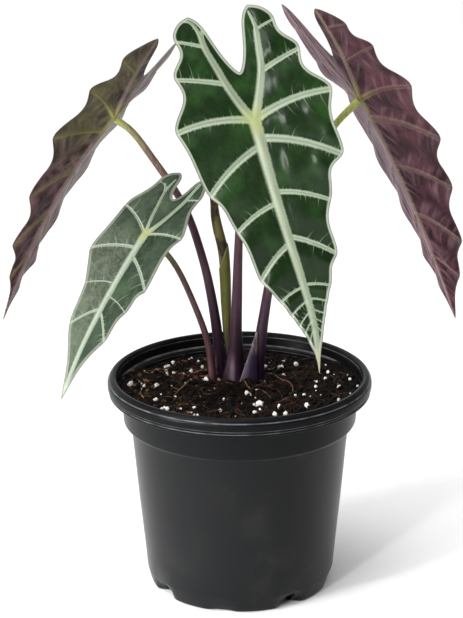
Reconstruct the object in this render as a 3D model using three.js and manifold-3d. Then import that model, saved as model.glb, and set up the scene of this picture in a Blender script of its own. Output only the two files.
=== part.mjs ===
// African mask plant in a nursery pot. Millimetres, +Z up, -Y to the front.
// The origin is on the pot's axis, in the plane that the foot stands in.
import * as THREE from 'three';
import { mergeVertices } from 'three/addons/utils/BufferGeometryUtils.js';
import Module from 'manifold-3d';

const wasm = await Module();
wasm.setup();

const { PI, cos, sin, sqrt, hypot, abs, min, max, sign, atan2 } = Math;
const RAD = PI / 180;
const mix = (a, b, t) => a + (b - a) * t;
const clamp = (x, low, high) => min(max(x, low), high);
const smooth = (low, high, x) => {
  const t = clamp((x - low) / (high - low), 0, 1);
  return t * t * (3 - 2 * t);
};
const vec = (p) => new THREE.Vector3(p[0], p[1], p[2]);

const GAP = 0.3; // clearance where two pieces meet

// Pot: a thin six-inch moulded nursery pot.
const POT_TURN = 64; // facets round the pot
const POT_SECTION = [
  // radius, height, from the middle of the floor out, up the outside, over the rim and down inside
  [0, 0], [15, 0], [16.5, 1], [39, 1], [40.5, 0], [50.2, 0],
  [51.6, 0.9], [52.6, 4], [53.9, 9.2], [54.9, 21], [58, 52], [61.9, 95.6],
  [62.6, 97], [65.2, 97.6], [66.2, 99], [67.1, 113.2],
  [72.9, 114.5], [74.3, 115.6], [73.9, 117.2], [75, 119.2],
  [75, 121.6], [74.1, 124], [72.2, 125.4], [70.4, 125],
  [69.7, 123.4], [69.2, 118.2], [65.4, 117.4], [64.3, 100], [60.6, 97.6],
  [56.4, 52], [52.8, 14], [51.4, 6.4], [49.4, 2.8], [0, 2.4],
];
const DENTS = 8; // drain dents round the foot, deep and shallow in turn
const FIRST_DENT = 33; // degrees to the right of the front
const DEEP_DENT = 7; // how far in a deep dent goes at the floor
const SHALLOW_DENT = 2;
const DENT_HALF = 11; // half its width, degrees
const DENT_TOP = 11; // height at which a dent has run out
const DENT_FROM = 36; // radius where the floor starts to give way to the dents
const DENT_FULL = 49; // radius from which a dent has its whole depth
const DRAIN_RADIUS = 3.4;
const DRAIN_HEIGHT = 3.2;
const DRAIN_OUT = 45.5; // radius of the middle of a drain hole
const DRAIN_TILT = 50; // degrees from level
const DRAIN_LENGTH = 14;
const DRAIN_FACETS = 10;

// Soil: dark potting mix, lower than the inner ledge at the back and over it in front.
const SOIL_TURN = 48;
const SOIL_BACK = 115.4;
const SOIL_FRONT = 119.2;
const SOIL_MOUND = 1.6; // it is heaped a little round the stalks
const SOIL_FLOOR = 3.1;
const SOIL_WALL = [
  // radius, height of the soil's side, clear of the pot's inside
  [41.5, SOIL_FLOOR], [50.8, 14], [55.9, 52], [60.1, 97.2], [63.7, 100.6],
];
const SOIL_SIDE = 64.7; // radius of the side just under the ledge
const SOIL_OVER = 68.6; // radius where it lies over the ledge
const SOIL_RINGS = [63.2, 59, 53, 47, 41, 35, 28, 21, 13]; // radii of the rings on top
const SOIL_EDGE = [112, 113, 114]; // heights of the side's last rings at the back
const SOIL_BACK_HALF = 38; // degrees from the back within which the ledge is bare
const SOIL_BACK_FULL = 76; // degrees from the back where the soil covers it
const SOIL_BACK_AT = 8; // how far the bare part is turned to the right, degrees
const SOIL_DISH = 1.2; // it is this much lower in the middle than at the front
const HEAP = { x: -1, y: 12, from: 8, to: 40 }; // where it is heaped, and over what distance
const LEDGE_TOP = 118.2;
// Waves that add up to the lumps of the mix: height, then the turn per mm in x and y and the
// start of the two waves that are multiplied.
const LUMPS = [
  { high: 0.7, one: [0.21, 0, 1.3], two: [0, 0.19, 0.4] },
  { high: 0.6, one: [0.43, 0.17, 0], two: [-0.13, 0.39, 2] },
  { high: 0.45, one: [0.81, -0.3, 1], two: [0.35, 0.74, 0] },
];

// Blades
const BLADE = 0.8; // thickness
const MIDRIB = 1.5; // how far the midrib stands out of the underside at the stalk
const SIDE_RIB = 0.8; // the same for a side rib at its root
const RIB_HALF = 1.7; // half the width of a rib
const SWELL = 1.1; // rise of the upper side between two side ribs
const FOLD_ROUND = 3; // the fold along the midrib is rounded over this width
const BAY_ROUND = 1.6; // more than 1 rounds the ends of the ribs off
const LOBE_END_ROUND = 0.8; // less than 1 rounds the end of a lobe off
const BAY_SKEW = 0.72; // a bay of the margin is deepest nearer to the rib behind it
const BLADE_ROWS = 4; // rows of facets from the midrib to the margin
const LOBE_ROWS = 2; // the same from a costa to the edge inside the lobe
const STOPS = [0.42, 0.74]; // columns of facets between two ribs, as shares
const LAST_STOPS = [0.36, 0.68]; // the same in the bay before the tip of the leaf
const RIB_BOW = 0.28; // how far a side rib bows towards the stalk, over its length
const RIB_BOW_LOBE = 0.25; // the share of it that is left in a lobe
const SINUS_OPEN = 1.4; // how far the notch between the lobes is rounded out at its foot
const RIB_THIN = 0.8; // share of its height that a side rib loses by the margin
const MIDRIB_END = 0.2; // share of the midrib's height that is left at the tip of the leaf
const COSTA = 0.75; // height of a costa over that of the midrib
const FULL_REACH = 22; // a half narrower than this has less swell and wave
const SAME_CORNER = 0.7; // corners of the two halves closer than this along the midrib are one

// Each half has a lobe [back, out] and ribs from the lobe's end to the tip of the leaf. A rib is
// [root, along, out, bay]: its root on the costa as a share of it, then its end on the margin and
// how deep the bay before it is. The first rib in `ribs` starts at the stalk, and its root and the
// next ones are lengths along the midrib. Lengths run forward from the stalk, out is from the midrib.
const LEAVES = {
  centre: {
    junction: [8.4, -28, 279.3], tip: [43.6, -45, 140.9], face: [0.05, -1, 0.2],
    droop: 16, recurve: 12, foldRight: 8, foldLeft: 8, foldTip: 0.8, roll: -1,
    sway: 3.7, swayShape: 2.4, turn: 0.04, wave: 1.6, sinus: 27, costaBow: 4.2, lobeRound: 2.2,
    right: {
      lobe: [60.5, 14.5], lobeFold: 1, lobeRibs: [[0.82, -50.5, 26.5, -2.2], [0.4, -33, 36, 3]],
      ribs: [[0, -7, 46.5, 6], [10, 30, 43, 4], [40, 50.5, 29, 5], [65, 81, 23.5, 3],
        [93, 97, 14.5, 2], [101, 105, 10.5, 0.4]], lastBay: 2,
    },
    left: {
      lobe: [62, 18], lobeFold: 1, lobeRibs: [[0.72, -52, 29.5, -2.6], [0.36, -33, 36, 4]],
      ribs: [[0, -5, 43.5, 5.5], [14, 33.5, 35, 1], [46, 55, 26, 2], [69, 85, 22, 1],
        [94, 99, 15, 0.4], [103, 109, 11, 0.4]], lastBay: 2,
    },
  },
  left: {
    junction: [-69.6, 18, 270], tip: [-133, -2, 158.7], face: [-0.78, 0.52, 0.35],
    droop: 14, recurve: 10, foldRight: 17, foldLeft: 24, foldTip: 0.5, roll: -1,
    sway: 7, swayShape: 0.9, turn: 0, wave: -1.5, sinus: 29, costaBow: 2, lobeRound: 1.5,
    right: {
      lobe: [51, 10], lobeFold: 1, lobeRibs: [[0.55, -32, 22.5, -1.5]],
      ribs: [[0, -9, 28.5, 5], [9, 24, 30.3, 3], [36, 59, 20.2, 5], [64, 88, 14.4, 3.5],
        [90, 105, 6.6, 0.6]], lastBay: 1.2,
    },
    left: {
      lobe: [54, 14], lobeFold: 0.7, lobeRibs: [[0.55, -34, 22, -1.5]],
      ribs: [[0, -9, 29, 4], [9, 24, 33, 3], [36, 57, 26, 4], [64, 87, 18, 3],
        [90, 105, 9, 0.6]], lastBay: 1.2,
    },
  },
  right: {
    junction: [67.5, 5, 283], tip: [120.4, -15, 162.6], face: [0.75, 0.55, 0.35],
    droop: 14, recurve: 10, foldRight: 20, foldLeft: 15, foldTip: 0.8, roll: -1,
    sway: 0, swayShape: 1.5, turn: -0.12, wave: -1.3, sinus: 28, costaBow: 2.6, lobeRound: 2,
    right: {
      lobe: [65, 15], lobeFold: 0.35, lobeRibs: [[0.76, -49, 22, -1.5], [0.4, -28, 25, 1.5]],
      ribs: [[0, -5, 29, 1.5], [12, 30, 33, 4], [40, 59, 26, 4], [70, 89, 17, 3],
        [96, 109, 11, 0.8]], lastBay: 1.2,
    },
    left: {
      lobe: [56, 11], lobeFold: 1, lobeRibs: [[0.78, -42, 23.5, -1.5], [0.4, -26, 31, 2.5]],
      ribs: [[0, 2, 40, 4], [12, 35, 42, 5], [42, 62, 34, 5], [71, 92, 24.5, 3.5],
        [96, 110, 13.5, 0.8]], lastBay: 1.2,
    },
  },
  low: {
    junction: [-51.9, -12.5, 211.2], tip: [-98.1, -47.5, 127.5], face: [-0.35, -0.8, 0.35],
    droop: 24, recurve: 20, foldRight: 10, foldLeft: 10, foldTip: 0.8, roll: -1,
    sway: -1, swayShape: 1.5, turn: -0.1, wave: 1, sinus: 26, costaBow: 1.6, lobeRound: 1.5,
    right: {
      lobe: [44, 8], lobeFold: 1, lobeRibs: [[0.62, -32, 14.5, -1.5]],
      ribs: [[0, -7, 21.5, 1.8], [14, 29.5, 19, 1.5], [40, 44, 15, 0.5], [49, 62, 11.5, 0.5]],
      lastBay: 1.6,
    },
    left: {
      lobe: [42, 7], lobeFold: 1, lobeRibs: [[0.72, -33, 14, -1.5]],
      ribs: [[0, -12, 21, 1.5], [9, 20, 24, 2], [32, 38, 16, 0.6], [48, 61, 13.5, 0.8]],
      lastBay: 1.8,
    },
  },
};

// Stalks: x, y, z and radius from the rootstock up. Each one bends over to the underside of its
// leaf at the end.
const STALKS = {
  centre: [[-2, 10.5, 106, 5.4], [-2, 10.4, 118, 5.2], [-2, 9.6, 133, 4.3], [-1.9, 8.6, 149, 3.4],
    [-1.3, 8, 166, 3], [-0.2, 7, 200, 2.35], [1.2, 3, 227, 2.15], [4.3, -6, 252, 2],
    [7, -16, 269, 1.9]],
  left: [[-10.6, 15.6, 106, 3.9], [-11.2, 16, 120, 3.7], [-12.2, 16, 139, 3.1], [-15.5, 16, 164, 2.7],
    [-20.5, 16.2, 188, 2.4], [-30.9, 19.5, 218.2, 2.15], [-49, 20.5, 247, 1.95],
    [-59.5, 19.5, 261.7, 1.85]],
  right: [[9.3, 11.4, 106, 4.7], [9.7, 12, 121, 4.4], [11.4, 12, 136, 3.7], [14, 12, 155, 3],
    [18.6, 12, 182.6, 2.5], [25.9, 12, 212, 2.3], [36.9, 11, 238.3, 2.1],
    [53.2, 8, 267.6, 1.9]],
  low: [[-14.7, 7.5, 106, 2.2], [-15.7, 8, 122.9, 2.1], [-18.4, 9, 142, 1.9], [-26.5, 10.6, 165.3, 1.75],
    [-35.4, 8, 186, 1.65], [-44.8, -1, 201.6, 1.6]],
};
const STALK_BEND = 1.6; // the last bend lies this far below the end and half as far along the blade
const STALK_FLARE = 1.15; // widening of a stalk where it meets its leaf
const STALK_OFF = 0.1; // extra room at its slanted end
const STALK_FACETS = 12;
const STALK_RINGS = 15;
const STALK_FLOOR = 106;

// The youngest leaf is still a rolled, slightly twisted spear.
const SPEAR = [[-4.6, 19.6, 106, 1.6], [-5.4, 18.6, 125, 1.8], [-7.1, 17.2, 142.5, 2],
  [-7.5, 16, 162, 2.9], [-8.1, 15.5, 181.5, 3.2], [-9.3, 15, 195, 3.4], [-11.8, 14.8, 206, 3.3],
  [-13.2, 14, 214, 3], [-14, 13, 223, 2.4], [-16, 11.5, 236, 1.5], [-17.8, 10, 247, 0.45]];
const SPEAR_FLAT = 0.88; // thickness of the roll over its width
const SPEAR_TWIST = 200; // degrees from foot to tip

// A thin papery sheath wraps the front of the clump: corners of its foot and its tip.
const SHEATH = {
  left: [-2.6, 3.9, 110], middle: [3.4, 2.2, 110], right: [10, 5.2, 110], tip: [10.1, 8.2, 147],
  thick: 0.7, tipWidth: 0.07, rows: 8, columns: 6,
};

// Rootstock: the buried corm that the stalks grow from. It is flat where they stand on it.
const ROOTSTOCK = { at: [-2.5, 12.3, 93], radii: [22, 15, 17], facets: 18, rings: 10 };

const solid = (geometry) => {
  const bare = geometry.clone();
  bare.deleteAttribute('normal');
  bare.deleteAttribute('uv');
  const merged = mergeVertices(bare, 1e-4);
  const mesh = new wasm.Mesh({
    numProp: 3,
    vertProperties: new Float32Array(merged.attributes.position.array),
    triVerts: new Uint32Array(merged.index.array),
  });
  return new wasm.Manifold(mesh);
};

const fromSolid = (body) => {
  const mesh = body.getMesh();
  const geometry = new THREE.BufferGeometry();
  geometry.setAttribute('position', new THREE.BufferAttribute(mesh.vertProperties, 3));
  geometry.setIndex(new THREE.BufferAttribute(mesh.triVerts, 1));
  return geometry;
};

const fromPoints = (points, faces) => {
  const geometry = new THREE.BufferGeometry();
  geometry.setAttribute('position', new THREE.Float32BufferAttribute(points.flat(), 3));
  geometry.setIndex(faces.flat());
  return geometry;
};

// A profile turned about Z. `shift` moves each point of the turned surface.
function turned(section, facets, shift) {
  const profile = section.map(([r, z]) => new THREE.Vector2(r, z));
  const geometry = new THREE.LatheGeometry(profile, facets);
  geometry.rotateX(PI / 2);
  geometry.deleteAttribute('normal');
  geometry.deleteAttribute('uv');
  const merged = mergeVertices(geometry, 1e-4);
  const position = merged.attributes.position;
  for (let i = 0; i < position.count; i += 1) {
    const x = position.getX(i);
    const y = position.getY(i);
    const moved = shift(hypot(x, y), position.getZ(i), atan2(x, -y) / RAD, x, y);
    const turn = hypot(x, y) > 1e-6 ? moved.r / hypot(x, y) : 0;
    position.setXYZ(i, x * turn, y * turn, moved.z);
  }
  return merged;
}

// How far the foot is dented at an azimuth in degrees from the front.
function dentAt(azimuth) {
  const step = 360 / DENTS;
  const turn = (azimuth - FIRST_DENT) / step;
  const nearest = Math.round(turn);
  const off = abs(turn - nearest) * step;
  const depth = nearest % 2 === 0 ? DEEP_DENT : SHALLOW_DENT;
  return depth * (1 - smooth(0.25, 1, off / DENT_HALF));
}

function makePot() {
  const shell = turned(POT_SECTION, POT_TURN, (r, z, azimuth) => {
    const low = 1 - clamp(z / DENT_TOP, 0, 1);
    const out = smooth(DENT_FROM, DENT_FULL, r);
    return { r: r - dentAt(azimuth) * sqrt(low) * low * out, z };
  });
  let pot = solid(shell);
  for (let k = 0; k < DENTS; k += 2) {
    const azimuth = (FIRST_DENT + (k * 360) / DENTS) * RAD;
    const drill = new THREE.CylinderGeometry(DRAIN_RADIUS, DRAIN_RADIUS, DRAIN_LENGTH, DRAIN_FACETS);
    drill.rotateX(PI / 2 - DRAIN_TILT * RAD);
    drill.translate(0, -DRAIN_OUT, DRAIN_HEIGHT);
    drill.rotateZ(azimuth);
    pot = pot.subtract(solid(drill));
  }
  return fromSolid(pot);
}

// Height of the lumps of the mix at a place on its surface.
function lumps(x, y) {
  const wave = ([perX, perY, start]) => sin(perX * x + perY * y + start);
  return LUMPS.reduce((sum, { high, one, two }) => sum + high * wave(one) * wave(two), 0);
}

// The soil's top at a place, `front` being 0 at the back and 1 where the soil covers the ledge.
function soilLevel(x, y, r, front) {
  const dish = SOIL_DISH * (1 - smooth(20, 60, r));
  const heap = SOIL_MOUND * (1 - smooth(HEAP.from, HEAP.to, hypot(x - HEAP.x, y - HEAP.y)));
  const calm = 1 - 0.65 * smooth(52, 62, r);
  return mix(SOIL_BACK, SOIL_FRONT - dish, front) + heap + lumps(x, y) * calm;
}

function makeSoil(holes) {
  const [low, middle, high] = SOIL_EDGE;
  const surface = high + 1;
  const section = [[0, SOIL_FLOOR], ...SOIL_WALL];
  section.push([SOIL_SIDE, low], [SOIL_SIDE + 0.2, middle], [SOIL_SIDE + 0.1, high]);
  SOIL_RINGS.forEach((r) => section.push([r, surface]));
  section.push([0, surface]);
  const body = turned(section, SOIL_TURN, (r, z, azimuth, x, y) => {
    const fromFront = abs(azimuth - SOIL_BACK_AT);
    const front = 1 - smooth(180 - SOIL_BACK_FULL, 180 - SOIL_BACK_HALF, fromFront);
    // First the side rises past the ledge, then it spreads over it.
    const rise = smooth(0, 0.5, front);
    const over = (SOIL_OVER - SOIL_SIDE) * smooth(0.5, 1, front);
    if (z < low - 0.5) return { r, z };
    if (z < middle - 0.5) return { r: SOIL_SIDE, z: mix(low, LEDGE_TOP - 1.1, rise) };
    if (z < high - 0.5) return { r: SOIL_SIDE + 0.1, z: mix(middle, LEDGE_TOP + 0.35, rise) };
    if (z < surface - 0.5) return { r: SOIL_SIDE + over, z: mix(high, LEDGE_TOP + 0.5, rise) };
    const atEdge = smooth(56, 63, r);
    const least = mix(high + 0.3, LEDGE_TOP + 0.8, rise) * atEdge;
    return { r: r > SOIL_SIDE - 2 ? r + over : r, z: max(soilLevel(x, y, r, front), least) };
  });
  let soil = solid(body);
  holes.forEach((hole) => {
    soil = soil.subtract(hole);
  });
  return fromSolid(soil);
}

// A leaf's own coordinates, laid in space: s runs along the midrib from the stalk, w sideways,
// and lift stands off the blade on its upper side.
function layLeaf(leaf) {
  const start = vec(leaf.junction);
  const along = vec(leaf.tip).sub(start);
  const chord = along.length();
  along.normalize();
  const up = vec(leaf.face);
  up.addScaledVector(along, -up.dot(along)).normalize();
  const across = new THREE.Vector3().crossVectors(up, along);
  const lean = (leaf.droop * RAD) / 2;
  const length = (chord * lean) / sin(lean);
  const place = (s, w, lift) => {
    const q = clamp(s / length, 0, 1);
    const bend = ((s >= 0 ? leaf.droop : leaf.recurve) * RAD) / length;
    const angle = bend * s - lean;
    const run = (sin(angle) + sin(lean)) / bend;
    const drop = (cos(lean) - cos(angle)) / bend;
    const half = w >= 0 ? leaf.right : leaf.left;
    const inLobe = mix(1, half.lobeFold, smooth(0, leaf.sinus, -s));
    const fold = (w >= 0 ? leaf.foldRight : leaf.foldLeft) * RAD * mix(1, leaf.foldTip, q) * inLobe;
    const root = hypot(w, FOLD_ROUND);
    const rise = root - FOLD_ROUND;
    const slope = (fold * abs(w)) / root;
    const height = rise * sin(fold) + leaf.roll * (w / 40) ** 2 + cos(slope) * lift;
    const sideways = sign(w) * (abs(w) - rise * (1 - cos(fold)) - sin(slope) * lift)
      + leaf.sway * sin(PI * q ** leaf.swayShape) - leaf.turn * max(-s, 0);
    return start.clone()
      .addScaledVector(along, run + sin(angle) * height)
      .addScaledVector(across, sideways)
      .addScaledVector(up, -drop + cos(angle) * height);
  };
  return { place, length, up, along };
}

// One half of a leaf as stations from the end of its lobe to the tip of the leaf.
function halfLeaf(leaf, half, length) {
  const [back, out] = half.lobe;
  const costa = (share) => [
    -back * share,
    out * share + leaf.costaBow * 4 * share * (1 - share),
  ];
  const stations = [{ root: 1, tip: [-back, out], bay: 0, costa: true }];
  half.lobeRibs.forEach(([share, s, w, bay]) => {
    stations.push({ root: share, tip: [s, w], bay, costa: true });
  });
  const stalk = stations.length;
  half.ribs.forEach(([root, s, w, bay]) => {
    stations.push({ root, tip: [s, w], bay, costa: false });
  });
  stations.push({ root: length, tip: [length, 0], bay: half.lastBay, costa: false });
  const last = stations.length - 1;
  const spine = (u) => {
    const k = min(Math.floor(u), last - 1);
    const f = u - k;
    if (k < stalk) {
      const from = stations[k].root;
      const to = stations[k + 1].costa ? stations[k + 1].root : 0;
      return costa(mix(from, to, f));
    }
    return [mix(stations[k].root, stations[k + 1].root, f), 0];
  };
  const margin = (u) => {
    const k = min(Math.floor(u), last - 1);
    const f = u - k;
    const a = stations[k].tip;
    const b = stations[k + 1].tip;
    const run = [b[0] - a[0], b[1] - a[1]];
    const size = hypot(run[0], run[1]);
    const skew = k === 0 || k === last - 1 ? 1 : BAY_SKEW;
    const bay = stations[k + 1].bay;
    const depth = bay * abs(sin(PI * f ** skew)) ** (bay > 0 ? BAY_ROUND : LOBE_END_ROUND);
    const inward = [run[1] / size, -run[0] / size];
    return [0, 1].map((i) => a[i] + run[i] * f + inward[i] * depth);
  };
  const point = (u, v) => {
    const a = spine(u);
    const b = margin(u);
    const reach = hypot(b[0] - a[0], b[1] - a[1]);
    const bow = RIB_BOW * reach * v * (1 - v) * mix(RIB_BOW_LOBE, 1, smooth(stalk - 0.6, stalk, u));
    return [mix(a[0], b[0], v) - bow, mix(a[1], b[1], v)];
  };
  // The edge that faces the other lobe, from the foot of the notch to the lobe's end.
  const inner = (share) => {
    const size = hypot(back - leaf.sinus, out);
    const round = leaf.lobeRound * abs(sin(PI * share ** 3)) ** LOBE_END_ROUND;
    const off = round - SINUS_OPEN * sin(PI * share ** 0.6) * (1 - share);
    return [
      mix(-leaf.sinus, -back, share) - (out / size) * off,
      max(mix(0, out, share) - ((back - leaf.sinus) / size) * off, 0.02 * share),
    ];
  };
  return { stations, stalk, last, spine, margin, point, inner };
}

// Columns of facets across one half: the ribs, their shoulders and what lies between.
function columnStops(half) {
  const stops = [];
  for (let k = 0; k < half.last; k += 1) {
    const a = half.point(k, 0.6);
    const b = half.point(k + 1, 0.6);
    const side = clamp(RIB_HALF / hypot(b[0] - a[0], b[1] - a[1]), 0.05, 0.24);
    const parts = k === half.last - 1 ? [0, side, ...LAST_STOPS] : [0, side, ...STOPS, 1 - side];
    parts.forEach((f) => stops.push({ u: k + f, rib: f === 0 && k > 0, f }));
  }
  stops.push({ u: half.last, rib: false, f: 0 });
  return stops;
}

function makeBlade(leaf) {
  const { place, length } = layLeaf(leaf);
  const ids = new Map();
  const top = [];
  const bottom = [];
  const faces = [];
  const corner = (hand, s, w, lift, rib) => {
    const key = `${s.toFixed(2)} ${(w < 0.005 ? 0 : hand * w).toFixed(2)}`;
    if (!ids.has(key)) {
      ids.set(key, top.length);
      top.push(place(s, hand * w, lift).toArray());
      bottom.push(place(s, hand * w, lift - BLADE - rib).toArray());
    }
    return ids.get(key);
  };
  const triangle = (hand, a, b, c) => {
    if (a === b || b === c || a === c) return;
    faces.push(hand > 0 ? [a, b, c] : [a, c, b]);
  };
  const patch = (hand, columns, first) => {
    for (let i = 0; i + 1 < columns.length; i += 1) {
      for (let j = first; j + 1 < columns[i].length; j += 1) {
        const a = columns[i][j];
        const b = columns[i + 1][j];
        const c = columns[i + 1][j + 1];
        const d = columns[i][j + 1];
        triangle(hand, a, b, c);
        triangle(hand, a, c, d);
      }
    }
  };
  const sides = [['right', 1], ['left', -1]].map(([name, hand]) => {
    const half = halfLeaf(leaf, leaf[name], length);
    return { name, hand, half, stops: columnStops(half) };
  });
  // Both halves share their corners along the midrib.
  const midline = [];
  sides.forEach(({ half, stops }) => stops.forEach(({ u }) => {
    if (u < half.stalk) return;
    const [s] = half.spine(u);
    if (midline.every((other) => abs(other - s) > SAME_CORNER)) midline.push(s);
  }));
  midline.sort((a, b) => a - b);
  const onMidline = (s) => {
    const gaps = midline.map((other) => abs(other - s));
    return gaps.indexOf(min(...gaps));
  };
  const midribAt = (s) => MIDRIB * mix(1, MIDRIB_END, s / length);
  const spineCorner = (index) => corner(1, midline[index], 0, 0, midribAt(midline[index]));
  sides.forEach(({ name, hand, half, stops }) => {
    const { stations, stalk } = half;
    const reachOfLobe = hypot(stations[0].tip[0], stations[0].tip[1]);
    const columns = stops.map(({ u, rib, f }) => {
      const a = half.spine(u);
      const b = half.margin(u);
      const reach = max(hypot(b[0] - a[0], b[1] - a[1]), 0.01);
      const shoulder = clamp((1.15 * RIB_HALF) / reach, 0.04, 0.24);
      const costaRib = COSTA * MIDRIB * mix(1, MIDRIB_END, hypot(a[0], a[1]) / reachOfLobe);
      const small = min(reach / FULL_REACH, 1);
      const column = [];
      for (let j = 0; j <= BLADE_ROWS; j += 1) {
        const v = j === 0 ? 0 : mix(shoulder, 1, (j - 1) / (BLADE_ROWS - 1));
        const [s, w] = half.point(u, v);
        const swell = SWELL * sin(PI * f) * sin(PI * v ** 0.8) * small;
        const wave = -leaf.wave * v * v * cos(2 * PI * f ** BAY_SKEW) * small ** 1.5;
        const sideRib = rib ? SIDE_RIB * (1 - RIB_THIN * v) : 0;
        if (j === 0 && u >= stalk) column.push(spineCorner(onMidline(a[0])));
        else column.push(corner(hand, s, max(w, 0), swell + wave, j === 0 ? costaRib : sideRib));
      }
      return column;
    });
    const onCosta = stops.filter(({ u }) => u <= stalk).length;
    patch(hand, columns.slice(0, onCosta), 0);
    patch(hand, columns.slice(onCosta - 1), 1);
    for (let i = onCosta - 1; i + 1 < columns.length; i += 1) {
      const from = onMidline(half.spine(stops[i].u)[0]);
      const to = onMidline(half.spine(stops[i + 1].u)[0]);
      const turn = Math.ceil((from + to) / 2);
      for (let m = from; m < to; m += 1) {
        const shoulder = m < turn ? columns[i][1] : columns[i + 1][1];
        triangle(hand, spineCorner(m), spineCorner(m + 1), shoulder);
      }
      triangle(hand, columns[i][1], spineCorner(turn), columns[i + 1][1]);
    }
    // Inside the lobe, from the costa to the edge that faces the other lobe.
    const inside = stops.filter(({ u }) => u <= stalk).map(({ u }) => {
      const [s, w] = half.spine(u);
      const share = u >= stalk ? 0 : -s / leaf[name].lobe[0];
      const edge = half.inner(share);
      const column = [];
      for (let j = LOBE_ROWS; j >= 0; j -= 1) {
        const v = j / LOBE_ROWS;
        column.push(corner(hand, mix(s, edge[0], v), mix(w, edge[1], v), 0, 0));
      }
      return column;
    });
    patch(hand, inside, 0);
  });
  return thickSheet(top, bottom, faces);
}

// Closes the upper and lower corners of a sheet into a body. `faces` turn with the upper side
// towards the eye.
function thickSheet(upper, lower, faces) {
  const count = upper.length;
  const edges = new Map();
  const all = [];
  faces.forEach(([a, b, c]) => {
    [[a, b], [b, c], [c, a]].forEach(([p, q]) => edges.set(`${p} ${q}`, [p, q]));
    all.push([a, b, c], [count + a, count + c, count + b]);
  });
  edges.forEach(([p, q]) => {
    if (!edges.has(`${q} ${p}`)) all.push([p, count + p, count + q], [p, count + q, q]);
  });
  return fromPoints([...upper, ...lower], all);
}

// A round or flattened stem through points with radii. `fat` widens it all round.
function makeStem(points, {
  facets = STALK_FACETS, rings = STALK_RINGS, flat = 1, twist = 0, fat = 0, endFace = null,
} = {}) {
  const curve = new THREE.CatmullRomCurve3(points.map(vec), false, 'centripetal');
  const radius = (t) => {
    const at = t * (points.length - 1);
    const k = min(Math.floor(at), points.length - 2);
    return mix(points[k][3], points[k + 1][3], at - k) + fat;
  };
  const vertices = [];
  const faces = [];
  let side = new THREE.Vector3(1, 0, 0);
  for (let i = 0; i <= rings; i += 1) {
    const t = i / rings;
    const centre = curve.getPoint(t);
    const heading = i === rings && endFace ? endFace : curve.getTangent(t);
    side = side.addScaledVector(heading, -side.dot(heading)).normalize();
    const other = new THREE.Vector3().crossVectors(heading, side);
    if (fat > 0 && i === 0) centre.addScaledVector(heading, -fat);
    if (fat > 0 && i === rings) centre.addScaledVector(heading, fat);
    for (let j = 0; j < facets; j += 1) {
      const a = (j / facets) * 2 * PI;
      const b = a + twist * RAD * t;
      const r = radius(t) * mix(flat, 1, cos(a) ** 2);
      vertices.push(centre.clone()
        .addScaledVector(side, cos(b) * r)
        .addScaledVector(other, sin(b) * r).toArray());
    }
  }
  for (let i = 0; i < rings; i += 1) {
    for (let j = 0; j < facets; j += 1) {
      const a = i * facets + j;
      const b = i * facets + ((j + 1) % facets);
      faces.push([a, b, b + facets], [a, b + facets, a + facets]);
    }
  }
  for (let j = 1; j + 1 < facets; j += 1) {
    faces.push([0, j + 1, j]);
    faces.push([rings * facets, rings * facets + j, rings * facets + j + 1]);
  }
  return fromPoints(vertices, faces);
}

// The stalk's points, carried on to where it meets the ribs under its leaf, and the way that its
// end faces.
function stalkPath(name) {
  const { up, along } = layLeaf(LEAVES[name]);
  const points = STALKS[name].map((p) => [...p]);
  const off = BLADE + MIDRIB + GAP + STALK_OFF;
  const end = vec(LEAVES[name].junction).addScaledVector(up, -off);
  const before = end.clone().addScaledVector(up, -STALK_BEND).addScaledVector(along, STALK_BEND / 2);
  const radius = points[points.length - 1][3];
  points.push([...before.toArray(), radius * mix(1, STALK_FLARE, 0.33)]);
  points.push([...end.toArray(), radius * STALK_FLARE]);
  return { points, endFace: up };
}

// The sheath is a strip wrapped round a foot curve that closes on one point towards its tip.
// `grow` widens it on every side.
function makeSheath(grow = 0) {
  const { left, middle, right, tip, thick, rows, columns, tipWidth } = SHEATH;
  const foot = new THREE.QuadraticBezierCurve3(
    vec(left),
    vec(middle).multiplyScalar(2).addScaledVector(vec(left).add(vec(right)), -0.5),
    vec(right),
  );
  const spill = grow / foot.getLength();
  const up = new THREE.Vector3(0, 0, 1);
  const outer = [];
  const inner = [];
  for (let i = 0; i <= rows; i += 1) {
    const t = i / rows;
    const height = mix(left[2] - grow, tip[2] + grow, t);
    for (let j = 0; j <= columns; j += 1) {
      const f = mix(-spill, 1 + spill, j / columns);
      const outward = foot.getTangent(clamp(f, 0, 1)).cross(up).normalize();
      const centre = foot.getPoint(f)
        .sub(vec(right))
        .multiplyScalar(mix(1, tipWidth, t))
        .add(vec(right).lerp(vec(tip), t))
        .setZ(height);
      const half = thick / 2 + grow;
      outer.push(centre.clone().addScaledVector(outward, half).toArray());
      inner.push(centre.clone().addScaledVector(outward, -half).toArray());
    }
  }
  const wide = columns + 1;
  const faces = [];
  for (let i = 0; i < rows; i += 1) {
    for (let j = 0; j < columns; j += 1) {
      const a = i * wide + j;
      faces.push([a, a + 1, a + wide + 1], [a, a + wide + 1, a + wide]);
    }
  }
  return thickSheet(outer, inner, faces);
}

function makeRootstock(grow = 0) {
  const { at, radii, facets, rings } = ROOTSTOCK;
  const geometry = new THREE.SphereGeometry(1, facets, rings);
  geometry.rotateX(PI / 2);
  geometry.scale(radii[0] + grow, radii[1] + grow, radii[2] + grow);
  const position = geometry.attributes.position;
  const flatTop = STALK_FLOOR - GAP - at[2] + grow;
  for (let i = 0; i < position.count; i += 1) {
    position.setZ(i, min(position.getZ(i), flatTop));
  }
  geometry.translate(at[0], at[1], at[2]);
  return geometry;
}

const plant = new THREE.Group();
plant.name = 'potted_african_mask_plant';

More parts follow.
